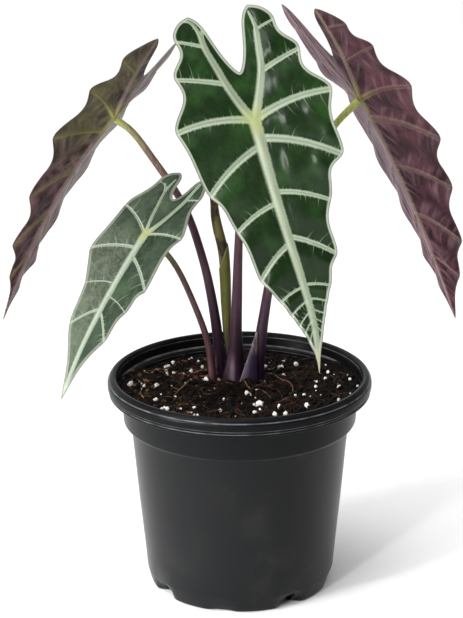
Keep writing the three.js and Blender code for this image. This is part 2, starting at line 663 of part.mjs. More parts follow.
function add(name, geometry, color, roughness, metalness = 0) {
  const shape = geometry.index ? geometry.toNonIndexed() : geometry;
  shape.computeVertexNormals();
  const mesh = new THREE.Mesh(shape, new THREE.MeshStandardMaterial({ color, roughness, metalness }));
  mesh.name = name;
  plant.add(mesh);
}

const NAMES = Object.keys(LEAVES);
const stems = NAMES.map((name) => ({ name, ...stalkPath(name) }));
const spearShape = { facets: 10, rings: 20, flat: SPEAR_FLAT, twist: SPEAR_TWIST };

add('pot', makePot(), 0x2b2b2d, 0.42);
const room = GAP + 0.05; // a round stem's facets stand a little inside its circle
const holes = stems.map(({ points }) => solid(makeStem(points, { fat: room })));
holes.push(solid(makeStem(SPEAR, { ...spearShape, fat: room })));
holes.push(solid(makeRootstock(GAP)));
holes.push(solid(makeSheath(GAP)));
add('soil', makeSoil(holes), 0x2a1d16, 0.95);
add('rootstock', makeRootstock(), 0x5b4032, 0.85);
stems.forEach(({ name, points, endFace }) => {
  add(`petiole_${name}`, makeStem(points, { endFace }), 0x4a2f3a, 0.5);
});
NAMES.forEach((name) => {
  const seenFromBelow = name === 'left' || name === 'right';
  add(`blade_${name}`, makeBlade(LEAVES[name]), seenFromBelow ? 0x5a4748 : 0x1f3f26, 0.38);
});
add('spear', makeStem(SPEAR, spearShape), 0x55561f, 0.45);
add('sheath', makeSheath(), 0x9a7f84, 0.6);

export default plant;
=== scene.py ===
"""Potted African mask plant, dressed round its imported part. Metres, +Z up, -Y to the front."""

import math
from functools import partial

import bpy
import numpy as np
from mathutils import Euler, Matrix, Vector, noise


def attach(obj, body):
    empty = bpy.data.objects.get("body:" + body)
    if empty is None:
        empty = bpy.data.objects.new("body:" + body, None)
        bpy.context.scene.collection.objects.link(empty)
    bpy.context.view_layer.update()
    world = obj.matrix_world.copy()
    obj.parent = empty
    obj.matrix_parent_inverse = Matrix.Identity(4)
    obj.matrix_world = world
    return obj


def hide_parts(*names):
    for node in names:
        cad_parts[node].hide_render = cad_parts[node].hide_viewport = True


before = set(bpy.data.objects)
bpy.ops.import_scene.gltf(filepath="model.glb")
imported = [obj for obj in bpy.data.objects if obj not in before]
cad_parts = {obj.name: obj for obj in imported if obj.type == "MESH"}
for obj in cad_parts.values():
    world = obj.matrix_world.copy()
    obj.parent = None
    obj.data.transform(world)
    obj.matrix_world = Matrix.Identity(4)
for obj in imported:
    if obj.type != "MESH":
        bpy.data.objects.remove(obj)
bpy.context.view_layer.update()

bl_info = {
    "name": "Potted African mask plant",
    "version": (1, 0, 0),
    "blender": (4, 5, 0),
    "location": "View3D > Sidebar > Mask plant",
    "description": "Builds the pot, soil, stalks and leaves of a potted African mask plant",
    "category": "Add Mesh",
}

MM = 0.001
PI = math.pi

# The part's own sizes, in millimetres, as in its source.

POT_SECTION = [
    # radius, height, from the middle of the floor out, up the outside, over the rim and down inside
    (0, 0), (15, 0), (16.5, 1), (39, 1), (40.5, 0), (50.2, 0),
    (51.6, 0.9), (52.6, 4), (53.9, 9.2), (54.9, 21), (58, 52), (61.9, 95.6),
    (62.6, 97), (65.2, 97.6), (66.2, 99), (67.1, 113.2),
    (72.9, 114.5), (74.2, 115.1), (74.3, 116.2), (73.8, 116.8), (74, 117.7), (74.9, 118.3),
    (75, 119.2), (75, 121.6), (74.7, 122.6), (74.3, 122.9), (73.7, 124.4), (72.2, 125.4), (70.4, 125),
    (69.7, 123.4), (69.2, 118.2), (65.4, 117.4), (64.3, 100), (60.6, 97.6),
    (56.4, 52), (52.8, 14), (51.4, 6.4), (49.4, 2.8), (0, 2.4),
]
# The collar and the rim are shaded copies of the wall's plastic, which shine less as painted shade under
# the rim and on its front: shine and lowest height.
PLASTICS = [("moulded_black_polypropylene", 0.16, 0), ("collar_polypropylene_shaded", 0.105, 97.5),
            ("rim_polypropylene_shaded", 0.065, 112.5)]
# Painted glints along the edges of the rolled rim: height, half-width and how pale.
RIM_GLINTS = [(122.9, 0.4, 0.5), (118.1, 0.35, 0.6), (116.5, 0.3, 0.45), (114.6, 0.35, 0.25)]
DENTS = 8
FIRST_DENT = 33
DEEP_DENT = 7
SHALLOW_DENT = 2
DENT_HALF = 11
DENT_TOP = 11
DRAIN_RADIUS = 3.4
DRAIN_OUT = 45.5
DRAIN_HEIGHT = 3.2
DRAIN_DEPTH = 14
DRAIN_LEAN = 40  # degrees

SOIL_WALL = [(41.5, 3.1), (50.8, 14), (55.9, 52), (60.1, 97.2), (63.7, 100.6)]
SOIL_SIDE = 64.7
SOIL_OVER = 68.6
SOIL_BACK = 115.4
SOIL_FRONT = 119.2
LEDGE_TOP = 118.2

BLADE = 0.8
MIDRIB = 1.5
MIDRIB_HALF = 2.2
SIDE_RIB = 0.8
RIB_HALF = 1.5
SWELL = 1.1
FOLD_ROUND = 3
BAY_ROUND = 1.6
BAY_SKEW = 0.72
ROUND_BEFORE = 0.36
ROUND_AFTER = 0.21
CORNER_PULL = 1.4

# A rib is (root, along, out, bay, strength): its root on the midrib or, in a lobe, as a share of
# the costa, its end on the margin, the depth of the bay before it, and how wide its vein is.
LEAVES = {
    "centre": dict(
        junction=(8.4, -28, 279.3), tip=(43.6, -45, 140.9), face=(0.05, -1, 0.2),
        droop=16, recurve=12, fold=dict(right=8, left=8), fold_tip=0.8,
        sway=3.7, sway_shape=2.4, turn=0.04, wave=1.6, sinus=27, costa_bow=4.2, lobe_round=2.2,
        # Swells between the ribs: along, out, half-length, half-width and height.
        blisters=[(4.5, 17.3, 6.5, 2.8, 0.7), (26.5, 12.3, 7.5, 2.8, 0.7), (28, 28.8, 6.5, 3.2, 1.05),
                  (18, 36.6, 6, 3.2, 1.1), (0, 31, 6.5, 3.2, 1.0), (-36, 20.3, 8, 2.6, 0.8),
                  (-13.5, 18.2, 6, 2.2, 0.4), (48, 12.8, 6, 2.2, 0.4), (74, 11.5, 5, 2, 0.4)],
        right=dict(
            lobe=(60.5, 14.5), bow=4.9, costa_wide=0.84,
            costa=[(0, 0), (-10, 5.2), (-20, 9.5), (-27.5, 12), (-35.5, 13.3), (-43.5, 14.6), (-46, 15)],
            forks=[[(-45.5, 14.9), (-49, 15.3), (-52.5, 14.8), (-57, 14)]],
            lobe_ribs=[(0.77, -50.5, 26.5, -2.2, 0.75), (0.4, -33, 36, 3, 1)],
            ribs=[(0, -7, 46.5, 6, 1), (10, 30, 43, 4, 1), (40, 50.5, 29, 5, 0.9),
                  (65, 81, 23.5, 3, 1), (93, 97, 14.5, 2, 0.75), (101, 105, 10.5, 0.4, 0.6),
                  (107, 112, 7.7, 0.3, 0.5), (112, 117, 5.9, 0.2, 0.45), (116, 121, 4.6, 0.2, 0.4)],
            last_bay=0.8),
        left=dict(
            lobe=(62, 18), bow=2.2, costa_wide=0.84,
            costa=[(0, 0), (-6, 3.3), (-20, 8.5), (-31, 11.2), (-39, 13.3), (-45, 14.5), (-50.5, 14.6)],
            forks=[[(-50, 14.7), (-54.5, 15.6), (-58, 17), (-59.7, 18.8), (-60.3, 21)],
                   [(-50, 14.2), (-53.5, 12.4), (-56, 11.9), (-58.5, 12.6)]],
            lobe_ribs=[(0.72, -52, 29.5, -2.6, 0.9), (0.36, -33, 36, 4, 0.95)],
            ribs=[(0, -5, 43.5, 5.5, 1), (14, 33.5, 35, 1, 1), (46, 55, 26, 2, 0.95),
                  (69, 85, 22, 1, 1), (94, 99, 15, 0.4, 0.7), (102, 108, 11.3, 0.4, 0.6),
                  (108, 115, 8.3, 0.3, 0.5), (113, 120, 6.2, 0.2, 0.45), (117, 125, 4.4, 0.2, 0.4)],
            last_bay=0.8)),
    "left": dict(
        junction=(-69.6, 18, 270), tip=(-133, -2, 158.7), face=(-0.78, 0.52, 0.35),
        droop=14, recurve=10, fold=dict(right=17, left=24), fold_tip=0.5,
        sway=7, sway_shape=0.9, turn=0, wave=-1.5, sinus=29, costa_bow=2, lobe_round=1.5,
        right=dict(
            lobe=(51, 10), lobe_ribs=[(0.55, -32, 22.5, -1.5, 1)],
            ribs=[(0, -9, 28.5, 5, 1), (9, 24, 30.3, 3, 1), (36, 59, 20.2, 5, 1), (64, 88, 14.4, 3.5, 1),
                  (90, 105, 6.6, 0.6, 0.8)],
            last_bay=1.2),
        left=dict(
            lobe=(54, 14), lobe_fold=0.7, lobe_ribs=[(0.55, -34, 22, -1.5, 1)],
            ribs=[(0, -9, 29, 4, 1), (9, 24, 33, 3, 1), (36, 57, 26, 4, 1), (64, 87, 18, 3, 1),
                  (90, 105, 9, 0.6, 0.8)],
            last_bay=1.2)),
    "right": dict(
        junction=(67.5, 5, 283), tip=(120.4, -15, 162.6), face=(0.75, 0.55, 0.35),
        droop=14, recurve=10, fold=dict(right=20, left=15), fold_tip=0.8,
        sway=0, sway_shape=1.5, turn=-0.12, wave=-1.3, sinus=28, costa_bow=2.6, lobe_round=2,
        right=dict(
            lobe=(65, 15), lobe_fold=0.35,
            lobe_ribs=[(0.76, -49, 22, -1.5, 1), (0.4, -28, 25, 1.5, 1)],
            ribs=[(0, -5, 29, 1.5, 1), (12, 30, 33, 4, 1), (40, 59, 26, 4, 1), (70, 89, 17, 3, 1),
                  (96, 109, 11, 0.8, 0.8)],
            last_bay=1.2),
        left=dict(
            lobe=(56, 11),
            lobe_ribs=[(0.78, -42, 23.5, -1.5, 0.8), (0.4, -26, 31, 2.5, 0.8)],
            ribs=[(0, 2, 40, 4, 0.8), (12, 35, 42, 5, 0.9), (42, 62, 34, 5, 0.9),
                  (71, 92, 24.5, 3.5, 0.9), (96, 110, 13.5, 0.8, 0.7)],
            last_bay=1.2)),
    "low": dict(
        junction=(-51.9, -12.5, 211.2), tip=(-98.1, -47.5, 127.5), face=(-0.35, -0.8, 0.35),
        droop=24, recurve=20, fold=dict(right=10, left=10), fold_tip=0.8, veins=0.64,
        sway=-1, sway_shape=1.5, turn=-0.1, wave=1, sinus=26, costa_bow=1.6, lobe_round=1.5,
        right=dict(
            lobe=(44, 8), lobe_ribs=[(0.62, -32, 14.5, -1.5, 1)],
            costa=[(0, 0), (-12, 4.3), (-25.5, 7), (-33, 7.4), (-40, 7.5)], costa_wide=0.8,
            ribs=[(0, -7, 21.5, 1.8, 1), (14, 29.5, 19, 1.5, 1), (40, 44, 15, 0.5, 0.5),
                  (49, 62, 11.5, 0.5, 0.9)],
            last_bay=1.6),
        left=dict(
            lobe=(42, 7), lobe_ribs=[(0.72, -33, 14, -1.5, 0.3)],
            costa=[(0, 0), (-8, 2.5), (-16, 4.3), (-24, 6), (-28.5, 7)], costa_wide=0.5,
            forks=[[(-28, 6.9), (-30, 8.2), (-32, 10)], [(-28, 6.9), (-32, 6.8), (-37, 6.5)]],
            ribs=[(0, -12, 21, 1.5, 1), (9, 20, 24, 2, 1), (32, 38, 16, 0.6, 0.5),
                  (48, 61, 13.5, 0.8, 0.9)],
            last_bay=1.8)),
}

# Stalks: x, y, z and radius from the rootstock up.
STALKS = {
    "centre": [(-2, 10.5, 106, 5.4), (-2, 10.4, 118, 5.2), (-2, 9.6, 133, 4.3), (-1.9, 8.6, 149, 3.4),
               (-1.3, 8, 166, 3), (-0.2, 7, 200, 2.35), (1.2, 3, 227, 2.15), (4.3, -6, 252, 2),
               (7, -16, 269, 1.9)],
    "left": [(-10.6, 15.6, 106, 3.9), (-11.2, 16, 120, 3.7), (-12.2, 16, 139, 3.1),
             (-15.5, 16, 164, 2.7), (-20.5, 16.2, 188, 2.4), (-30.9, 19.5, 218.2, 2.15),
             (-49, 20.5, 247, 1.95), (-59.5, 19.5, 261.7, 1.85)],
    "right": [(9.3, 11.4, 106, 4.7), (9.7, 12, 121, 4.4), (11.4, 12, 136, 3.7), (14, 12, 155, 3),
              (18.6, 12, 182.6, 2.5), (25.9, 12, 212, 2.3), (36.9, 11, 238.3, 2.1),
              (53.2, 8, 267.6, 1.9)],
    "low": [(-14.7, 7.5, 106, 2.2), (-15.7, 8, 122.9, 2.1), (-18.4, 9, 142, 1.9),
            (-26.5, 10.6, 165.3, 1.75), (-35.4, 8, 186, 1.65), (-44.8, -1, 201.6, 1.6)],
}
STALK_OFF = BLADE + MIDRIB  # depth of the midrib's crest under the blade's upper side
SPEAR = [(-4.6, 19.6, 106, 1.6), (-5.4, 18.6, 125, 1.8), (-7.1, 17.2, 142.5, 2),
         (-7.5, 16, 162, 2.9), (-8.1, 15.5, 181.5, 3.2), (-9.3, 15, 195, 3.4), (-11.8, 14.8, 206, 3.3),
         (-13.2, 14, 214, 3), (-14, 13, 223, 2.4), (-16, 11.5, 236, 1.5), (-17.8, 10, 247, 0.45)]
# The spear's outer wrap ends in a lip that leans over to the right.
LIP_HEIGHT = 190
LIP_TILT = 7
SHEATH = dict(left=(-2.6, 3.9, 110), middle=(3.4, 2.2, 110), right=(10, 5.2, 110), tip=(10.1, 8.2, 147))
SHEATH_THICK = 0.3

# The camera that the photograph was taken with, as fitted to the pot's rim and foot.
IMAGE_HEIGHT = 618
CAMERA = dict(focal_px=2310.27, distance=1300, pitch=18.538, target_z=163.53, target_x=-4.408, roll=-0.29)

# Tones across the midrib, from its left edge to its right: its own pale grey-green, with painted light on
# its left and painted shade on its right.
DARK_RIDGE_SHADED = [(0.06, "78856f"), (0.2, "9ea891"), (0.32, "b3bca3"), (0.42, "adb69d"), (0.55, "949d86"),
              (0.68, "828c75"), (0.85, "848e79"), (0.97, "6a785f")]
MID_RIDGE_SHADED = [(0.06, "74806f"), (0.28, "97a192"), (0.45, "9ca696"), (0.6, "8a9484"), (0.8, "78836f"),
             (0.97, "63705e")]
TIP_AT = 2.42  # where the middle leaf's tip lies on its flat map

# The larger perlite grains on the soil: x, y and diameter.
GRAINS = [
    (-62, -3, 2.9), (-47, -7, 2.4), (-42, 17, 1.9), (-39, 44, 1.7), (-28, 29, 1.7), (-24, 46, 1.3),
    (-47, 41, 1.2), (-29, 17, 2.0), (-19, 4, 2.4), (4, -15, 2.4), (11, -35, 3.7), (15, 35, 2.9),
    (24, 30, 2.9), (26, 45, 1.7), (33, 34, 2.3), (-11, -47, 1.7), (8, -48, 2.0), (22, -43, 2.3),
    (37, -39, 3.5), (19, -52, 2.6), (25, -50, 2.3), (56, -8, 2.0), (63, 3, 1.7), (51, 16, 1.7),
    (44, 2, 1.2), (43, -10, 1.7), (49, 7, 1.4), (36, -20, 1.7), (55, -29, 1.4), (-54, -6, 1.7),
    (-47, -27, 2.0), (-40, -43, 2.2), (-33, -41, 1.7), (-25, -50, 1.2), (-9, -22, 1.2), (-28, 4, 1.2),
]
# Surface roots: points on the soil and a radius.
ROOTS = [
    ([(-17, 17), (-24, 12), (-28, 4), (-33, -8), (-37, -20)], 0.95),
    ([(13, 24), (20, 14), (26, 4), (30, -4), (29, -16)], 0.4),
    ([(15, 22), (20, 33), (27, 44), (34, 55)], 0.45),
    ([(-12, 22), (-23, 27), (-34, 25), (-44, 30)], 0.5),
    ([(2, 2), (6, -8), (14, -14), (19, -27)], 0.45),
]


def mix(a, b, t):
    return a + (b - a) * t


def smooth(low, high, x):
    t = np.clip((x - low) / (high - low), 0, 1)
    return t * t * (3 - 2 * t)


def srgb(code):
    """A linear colour from a six-digit sRGB hex code."""
    parts = [int(code[i:i + 2], 16) / 255 for i in (0, 2, 4)]
    return tuple(p / 12.92 if p <= 0.04045 else ((p + 0.055) / 1.055) ** 2.4 for p in parts) + (1.0,)


# Settings


def setting(kind, name, description, default, *limits, **more):
    """A property of some kind. Its limits are the least and the most."""
    limits = dict(zip(("min", "max"), limits))
    return kind(name=name, description=description, default=default, **limits, **more)


def tint(name, description, code):
    return setting(bpy.props.FloatVectorProperty, name, description, srgb(code), 0, 1,
                   subtype="COLOR", size=4)


INT, FLOAT = bpy.props.IntProperty, bpy.props.FloatProperty


class PotSettings(bpy.types.PropertyGroup):
    facets: setting(INT, "Facets", "Facets round the pot", 144, 48, 288)
    plastic: tint("Plastic", "Colour of the moulded plastic", "0e0f10")
    roughness: setting(FLOAT, "Roughness", "How satin the plastic is", 0.3, 0, 1)


class SoilSettings(bpy.types.PropertyGroup):
    crumbs: setting(INT, "Crumbs", "Number of loose crumbs and bark chips", 1500, 0)
    specks: setting(INT, "Specks", "Number of small perlite specks", 120, 0)
    fibres: setting(INT, "Fibres", "Number of loose coir fibres", 130, 0)
    seed: setting(INT, "Seed", "Seed of the random places", 7)


class StalkSettings(bpy.types.PropertyGroup):
    facets: setting(INT, "Facets", "Facets round a stalk", 32, 8, 96)
    rings: setting(INT, "Rings", "Rings along a stalk", 110, 20, 400)


class LeafSettings(bpy.types.PropertyGroup):
    spacing: setting(FLOAT, "Spacing", "Mean size of a facet, in millimetres", 0.95, 0.5, 4)
    thickness: setting(FLOAT, "Thickness", "Thickness of the blade, in millimetres", 0.75, 0.3, 1)


class StageSettings(bpy.types.PropertyGroup):
    floor: tint("Floor", "Colour of the floor", "f4f4f4")


class PlantSettings(bpy.types.PropertyGroup):
    pot: bpy.props.PointerProperty(type=PotSettings)
    soil: bpy.props.PointerProperty(type=SoilSettings)
    stalks: bpy.props.PointerProperty(type=StalkSettings)
    leaves: bpy.props.PointerProperty(type=LeafSettings)
    stage: bpy.props.PointerProperty(type=StageSettings)


# Making meshes


def select(piece):
    """Makes a piece the one that is selected and active."""
    bpy.ops.object.select_all(action="DESELECT")
    piece.select_set(True)
    bpy.context.view_layer.objects.active = piece


def shade(piece, angle):
    """Shades a piece smooth up to an angle in degrees."""
    select(piece)
    bpy.ops.object.shade_smooth_by_angle(angle=math.radians(angle))


def add_object(name, data):
    """Puts new data in the scene as an object at the origin."""
    piece = bpy.data.objects.new(name, data)
    bpy.context.scene.collection.objects.link(piece)
    return piece


def apply_modifier(piece, kind, **settings):
    """Gives a piece a modifier with its settings and applies it."""
    select(piece)
    modifier = piece.modifiers.new(kind, kind)
    for name, value in settings.items():
        setattr(modifier, name, value)
    bpy.ops.object.modifier_apply(modifier=modifier.name)


def start_grid(name, columns, rows):
    """Adds a grid primitive. Returns it with each corner's place across and up it, from 0 to 1."""
    bpy.ops.mesh.primitive_grid_add(x_subdivisions=columns, y_subdivisions=rows, size=2)
    piece = bpy.context.active_object
    piece.name = piece.data.name = name
    piece.data.uv_layers[0].name = "wrap"
    place = np.empty(len(piece.data.vertices) * 3)
    piece.data.vertices.foreach_get("co", place)
    place = (place.reshape(-1, 3) + 1) / 2
    return piece, place[:, 0], place[:, 1]


def move_corners(piece, points):
    """Puts a piece's corners at points given in millimetres."""
    piece.data.vertices.foreach_set("co", (np.asarray(points) * MM).ravel())
    piece.data.update()


def close_up(piece, angle):
    """Merges what meets, turns the faces outwards and shades the piece."""
    select(piece)
    bpy.ops.object.mode_set(mode="EDIT")
    bpy.ops.mesh.select_all(action="SELECT")
    bpy.ops.mesh.remove_doubles(threshold=0.004 * MM)
    bpy.ops.mesh.normals_make_consistent(inside=False)
    bpy.ops.object.mode_set(mode="OBJECT")
    shade(piece, angle)


def wrap(name, columns, rows, place, angle):
    """Bends a grid into a closed shape. place(across, row) gives its corners in millimetres."""
    piece, across, up = start_grid(name, columns, rows)
    move_corners(piece, place(across, np.rint(up * rows).astype(int)))
    close_up(piece, angle)
    return piece


def from_parts(name, points, faces, angle):
    """A mesh object from corners in millimetres, for shapes that the edit tools can't give."""
    mesh = bpy.data.meshes.new(name)
    mesh.from_pydata((np.asarray(points) * MM).tolist(), [], faces)
    mesh.update()
    piece = add_object(name, mesh)
    shade(piece, angle)
    return piece


def add_attribute(piece, name, values, kind="FLOAT", domain="POINT"):
    made = piece.data.attributes.new(name, kind, domain)
    made.data.foreach_set("value" if kind == "FLOAT" else "vector", np.asarray(values, float).ravel())


def finish_piece(piece, materials, slot, *nodes):
    """Gives a piece its materials, lets it ride and says which nodes it stands for. slot is not used."""
    for material in materials:
        piece.data.materials.append(material)
    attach(piece, "root")
    if nodes:
        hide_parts(*nodes)


def cubic(a, b, leave, arrive, t):
    """A place on the curve from a to b that leaves and arrives in two given directions."""
    return (a + leave * t + (3 * (b - a) - 2 * leave - arrive) * t ** 2
            + (2 * (a - b) + leave + arrive) * t ** 3)


def centripetal(points, count):
    """Evenly stepped places on a centripetal Catmull-Rom curve through points."""
    p = [np.array(q, float) for q in points]
    p = [2 * p[0] - p[1]] + p + [2 * p[-1] - p[-2]]
    places = []
    for i in range(count):
        at = i / (count - 1) * (len(points) - 1)
        k = min(int(at), len(points) - 2)
        a, b, c, d = p[k:k + 4]
        ab, bc, cd = (max(np.dot(e - s, e - s) ** 0.25, 1e-4) for s, e in ((a, b), (b, c), (c, d)))
        leave = ((b - a) / ab - (c - a) / (ab + bc) + (c - b) / bc) * bc
        arrive = ((c - b) / bc - (d - b) / (bc + cd) + (d - c) / cd) * bc
        places.append(cubic(b, c, leave, arrive, at - k))
    return np.array(places)


def rings_along(points, count):
    """Centres, two sideways directions and radii of rings along a stem."""
    centres = centripetal([q[:3] for q in points], count)
    at = np.linspace(0, len(points) - 1, count)
    radii = np.interp(at, np.arange(len(points)), [q[3] for q in points])
    headings = np.gradient(centres, axis=0)
    headings /= np.linalg.norm(headings, axis=1)[:, None]
    sides = np.empty_like(centres)
    side = np.array([1.0, 0, 0])
    for i, heading in enumerate(headings):
        side = side - heading * side.dot(heading)
        side /= np.linalg.norm(side)
        sides[i] = side
    return centres, sides, np.cross(headings, sides), radii


# Making materials

# Kinds of node by a short name, some with a setting. Any other name is a sum of the math node.
KINDS = {
    "place": ("TexCoord",), "map": ("UVMap",), "attribute": ("Attribute",), "noise": ("TexNoise",),
    "flat noise": ("TexNoise", "noise_dimensions", "2D"), "cells": ("TexVoronoi",),
    "dice": ("TexWhiteNoise", "noise_dimensions", "1D"), "waves": ("TexWave", "bands_direction", "Z"),
    "stretch": ("Mapping",), "split": ("SeparateXYZ",), "join": ("CombineXYZ",), "range": ("MapRange",),
    "soft": ("MapRange", "interpolation_type", "SMOOTHSTEP"), "mix": ("Mix",),
    "blend": ("Mix", "data_type", "RGBA"), "grey": ("RGBToBW",), "ramp": ("ValToRGB",),
    "bump": ("Bump",), "skin": ("BsdfPrincipled",), "surface": ("OutputMaterial",),
    "ray": ("LightPath",), "background": ("Background",), "sky": ("OutputWorld",),
}


def add_node(tree, kind, *values, inputs=None, **settings):
    """Adds a node with its settings and links. Values fill the inputs that it shows, in their
    order, and inputs fills them by name. Each is a number, a hex colour, a node or a socket.
    Noise takes place, scale, detail and roughness. A range takes a value, the two ends it lies
    between and the two that they become. A mix or a blend takes the share and what it mixes."""
    kind, *preset = KINDS.get(kind, ("Math", "operation", kind))
    made = tree.nodes.new("ShaderNode" + kind)
    if preset:
        setattr(made, *preset)
    for name, value in settings.items():
        setattr(made, name, value)
    shown = [socket for socket in made.inputs if socket.enabled]
    named = [(made.inputs[name], value) for name, value in (inputs or {}).items()]
    for socket, value in [*zip(shown, values), *named]:
        if isinstance(value, bpy.types.Node):
            value = next(output for output in value.outputs if output.enabled)
        if isinstance(value, bpy.types.NodeSocket):
            tree.links.new(value, socket)
        else:
            socket.default_value = srgb(value) if isinstance(value, str) else value
    return made


def new_material(name):
    """A new material, and what adds nodes to it."""
    material = bpy.data.materials.new(name)
    material.use_nodes = True
    material.node_tree.nodes.clear()
    return material, partial(add_node, material.node_tree)


def set_ramp(node, stops):
    """Sets a colour ramp's stops, each a place and a hex code."""
    elements = node.color_ramp.elements
    while len(elements) > 1:
        elements.remove(elements[-1])
    for i, (place, colour) in enumerate(stops):
        element = elements[0] if i == 0 else elements.new(place)
        element.position = place
        element.color = srgb(colour)
    return node


def finish_skin(material, colour, roughness, relief=None, specular=0.5, ior=1.5, invert=False):
    """Ends a material in one shader. relief is what raises the skin, how strongly and how far."""
    add = partial(add_node, material.node_tree)
    inputs = {"Base Color": colour, "Roughness": roughness, "Specular IOR Level": specular, "IOR": ior}
    if relief:
        height = dict(zip(("Height", "Strength", "Distance"), relief))
        inputs["Normal"] = add("bump", inputs=height, invert=invert)
    add("surface", add("skin", inputs=inputs))
    return material


def pot_plastic(name, settings, shine):
    """Injection-moulded black polypropylene. The mould's fine texture makes it satin, with a soft
    grain a third of a millimetre across, and handling leaves faint rubbed and dusty patches."""
    material, add = new_material(name)
    place = add("place").outputs["Object"]
    glint_breakup = add("noise", add("stretch", place, inputs={"Scale": (1, 1, 0.08)}), 160, 3)
    dust = add("noise", place, 26, 6, 0.65)
    tint = add("MULTIPLY", add("soft", dust, 0.5, 0.78), 0.1)
    colour = add("blend", tint, tuple(settings.plastic), "5d5a55")
    # Painted highlights: a thin pale line at each edge of the rolled rim, broken along its length, stands
    # for the glint there.
    height = add("split", place).outputs[2]
    for level, half, strength in RIM_GLINTS:
        off = add("ABSOLUTE", add("SUBTRACT", height, level * MM))
        line = add("range", off, half * MM, 0.25 * half * MM)
        glint_strength = add("range", glint_breakup, 0.35, 0.65, 0.3 * strength, strength)
        colour = add("blend", add("MULTIPLY", line, glint_strength), colour, "8c8c8e")
    rub = add("range", dust, 0.3, 0.7, settings.roughness - 0.03, settings.roughness + 0.05)
    return finish_skin(material, colour, rub, (add("noise", place, 2200, 2), 0.2, 0.0001), shine, 1.49)


def potting_mix():
    """Moist peat with composted bark. Wet crumbs look near black and drier ones brown, from half
    a millimetre to four across, dull with small damp glints."""
    material, add = new_material("moist_peat_and_bark")
    place = add("place").outputs["Object"]
    crumb, chip = add("cells", place, 420), add("cells", place, 950)
    damp = add("noise", place, 70, 5)
    tone = add("MULTIPLY_ADD", add("grey", crumb.outputs["Color"]), 0.5, damp)
    tone = add("MULTIPLY_ADD", add("grey", chip.outputs["Color"]), 0.35, tone)
    ramp = set_ramp(add("ramp", tone), [(0.5, "020101"), (0.8, "070504"), (0.95, "120b07"), (1, "21140c")])
    hollow = add("ADD", crumb.outputs["Distance"], chip.outputs["Distance"])
    return finish_skin(material, ramp, 0.85, (hollow, 0.8, 0.0012), 0.08, invert=True)


def crumb_skin():
    """Bark chips and peat crumbs. Each has one tone of its own, from wet black to orange-brown,
    with a grain of about a third of a millimetre."""
    material, add = new_material("bark_chips")
    place = add("place").outputs["Object"]
    own = add("attribute", attribute_name="tone").outputs["Fac"]
    grain = add("noise", place, 1500, 3)
    tone = add("ADD", own, add("range", grain, 0.3, 0.7, -0.12, 0.12))
    ramp = set_ramp(add("ramp", tone), [
        (0, "030202"), (0.45, "0d0907"), (0.7, "21150d"), (0.88, "452d1d"), (1, "80603f")])
    return finish_skin(material, ramp, 0.75, (grain, 0.6, 0.0004), 0.12)


def perlite():
    """Expanded volcanic glass: dull, chalky white grains full of small pits, a little stained."""
    material, add = new_material("expanded_perlite")
    place = add("place").outputs["Object"]
    pits = add("cells", place, 1500).outputs["Distance"]
    dirty = add("soft", add("noise", place, 500, 3), 0.52, 0.75, 0, 0.55)
    return finish_skin(material, add("blend", dirty, "efece7", "a39381"), 0.9, (pits, 0.7, 0.0004))


def fibre_skin(name, dark, light):
    """Coir fibre or thin root: a dry, slightly silky brown strand, mottled along its length."""
    material, add = new_material(name)
    place = add("place").outputs["Object"]
    mottle = add("noise", place, 260, 4)
    colour = add("blend", add("range", mottle, 0.35, 0.68), dark, light)
    return finish_skin(material, colour, 0.65, (mottle, 0.5, 0.0005))


def corm_bark():
    """The buried corm: rough, brown and papery, in rings a couple of millimetres apart."""
    material, add = new_material("corm_bark")
    place = add("place").outputs["Object"]
    rings = add("waves", place, 140, 6, 3).outputs["Fac"]
    return finish_skin(material, add("blend", rings, "33221a", "6b4a35"), 0.85, (rings, 0.6, 0.0008))


def petiole_skin(name, stops, stripe):
    """Living leaf stalk: a smooth waxed skin, green near the blade and purple towards the base,
    with short darker flecks that run along it, about half a millimetre wide."""
    material, add = new_material(name)
    place = add("place").outputs["Object"]
    around, along, _ = add("split", add("map", uv_map="wrap")).outputs
    drawn = add("stretch", place, inputs={"Scale": (1, 1, 0.12)})
    fleck = add("noise", drawn, 900, 4, 0.6)
    shift = add("range", add("noise", drawn, 130, 3), 0.3, 0.7, -0.05, 0.05)
    ramp = set_ramp(add("ramp", add("ADD", along, shift)), stops)
    colour = add("blend", add("soft", fleck, 0.42, 0.7, 0, 0.45), ramp, "1c0d14")
    # A pale line where the sheath's edge shows on the front of the base.
    near = add("ABSOLUTE", add("SUBTRACT", around, 0.675))
    line = add("MULTIPLY", add("soft", near, 0.085, 0, 0, stripe), add("soft", along, 0.26, 0.18))
    colour = add("blend", line, colour, "7b6570")
    return finish_skin(material, colour, 0.42, (fleck, 0.25, 0.0003), 0.3, 1.42)


def arc_lanes(add, line, lean, curl, pitch):
    """Lines that leave a vein, lean outwards and curl: the distance from the vein and the number
    of the lane, counted along it in steps of pitch."""
    gap, along, half = add("split", line).outputs
    arc = add("MULTIPLY", add("MULTIPLY_ADD", gap, curl, lean), gap)
    return gap, half, add("DIVIDE", add("SUBTRACT", along, arc), pitch)


def spur_lines(add, line, spacing, lean, curl, reach, rarity, width, growth=1.0):
    """How strongly the thin side veins show, which leave a vein at uneven steps, lean towards
    the margin and taper to a point after a random length."""
    gap, half, lane = arc_lanes(add, line, lean, curl, spacing)
    place, chance, _ = add("split", add("dice", add("FLOOR", lane)).outputs["Color"]).outputs
    off = add("SUBTRACT", add("FRACT", lane), add("range", place, 0, 1, 0.25, 0.75))
    off = add("MULTIPLY", add("ABSOLUTE", off), spacing / width)
    length = add("MULTIPLY", add("range", add("POWER", chance, rarity), 0, 1, *reach), growth)
    ratio = add("DIVIDE", add("MULTIPLY_ADD", half, -0.8, gap), length)
    return add("soft", add("ADD", off, add("MAXIMUM", ratio, 0)), 1, 0.3)


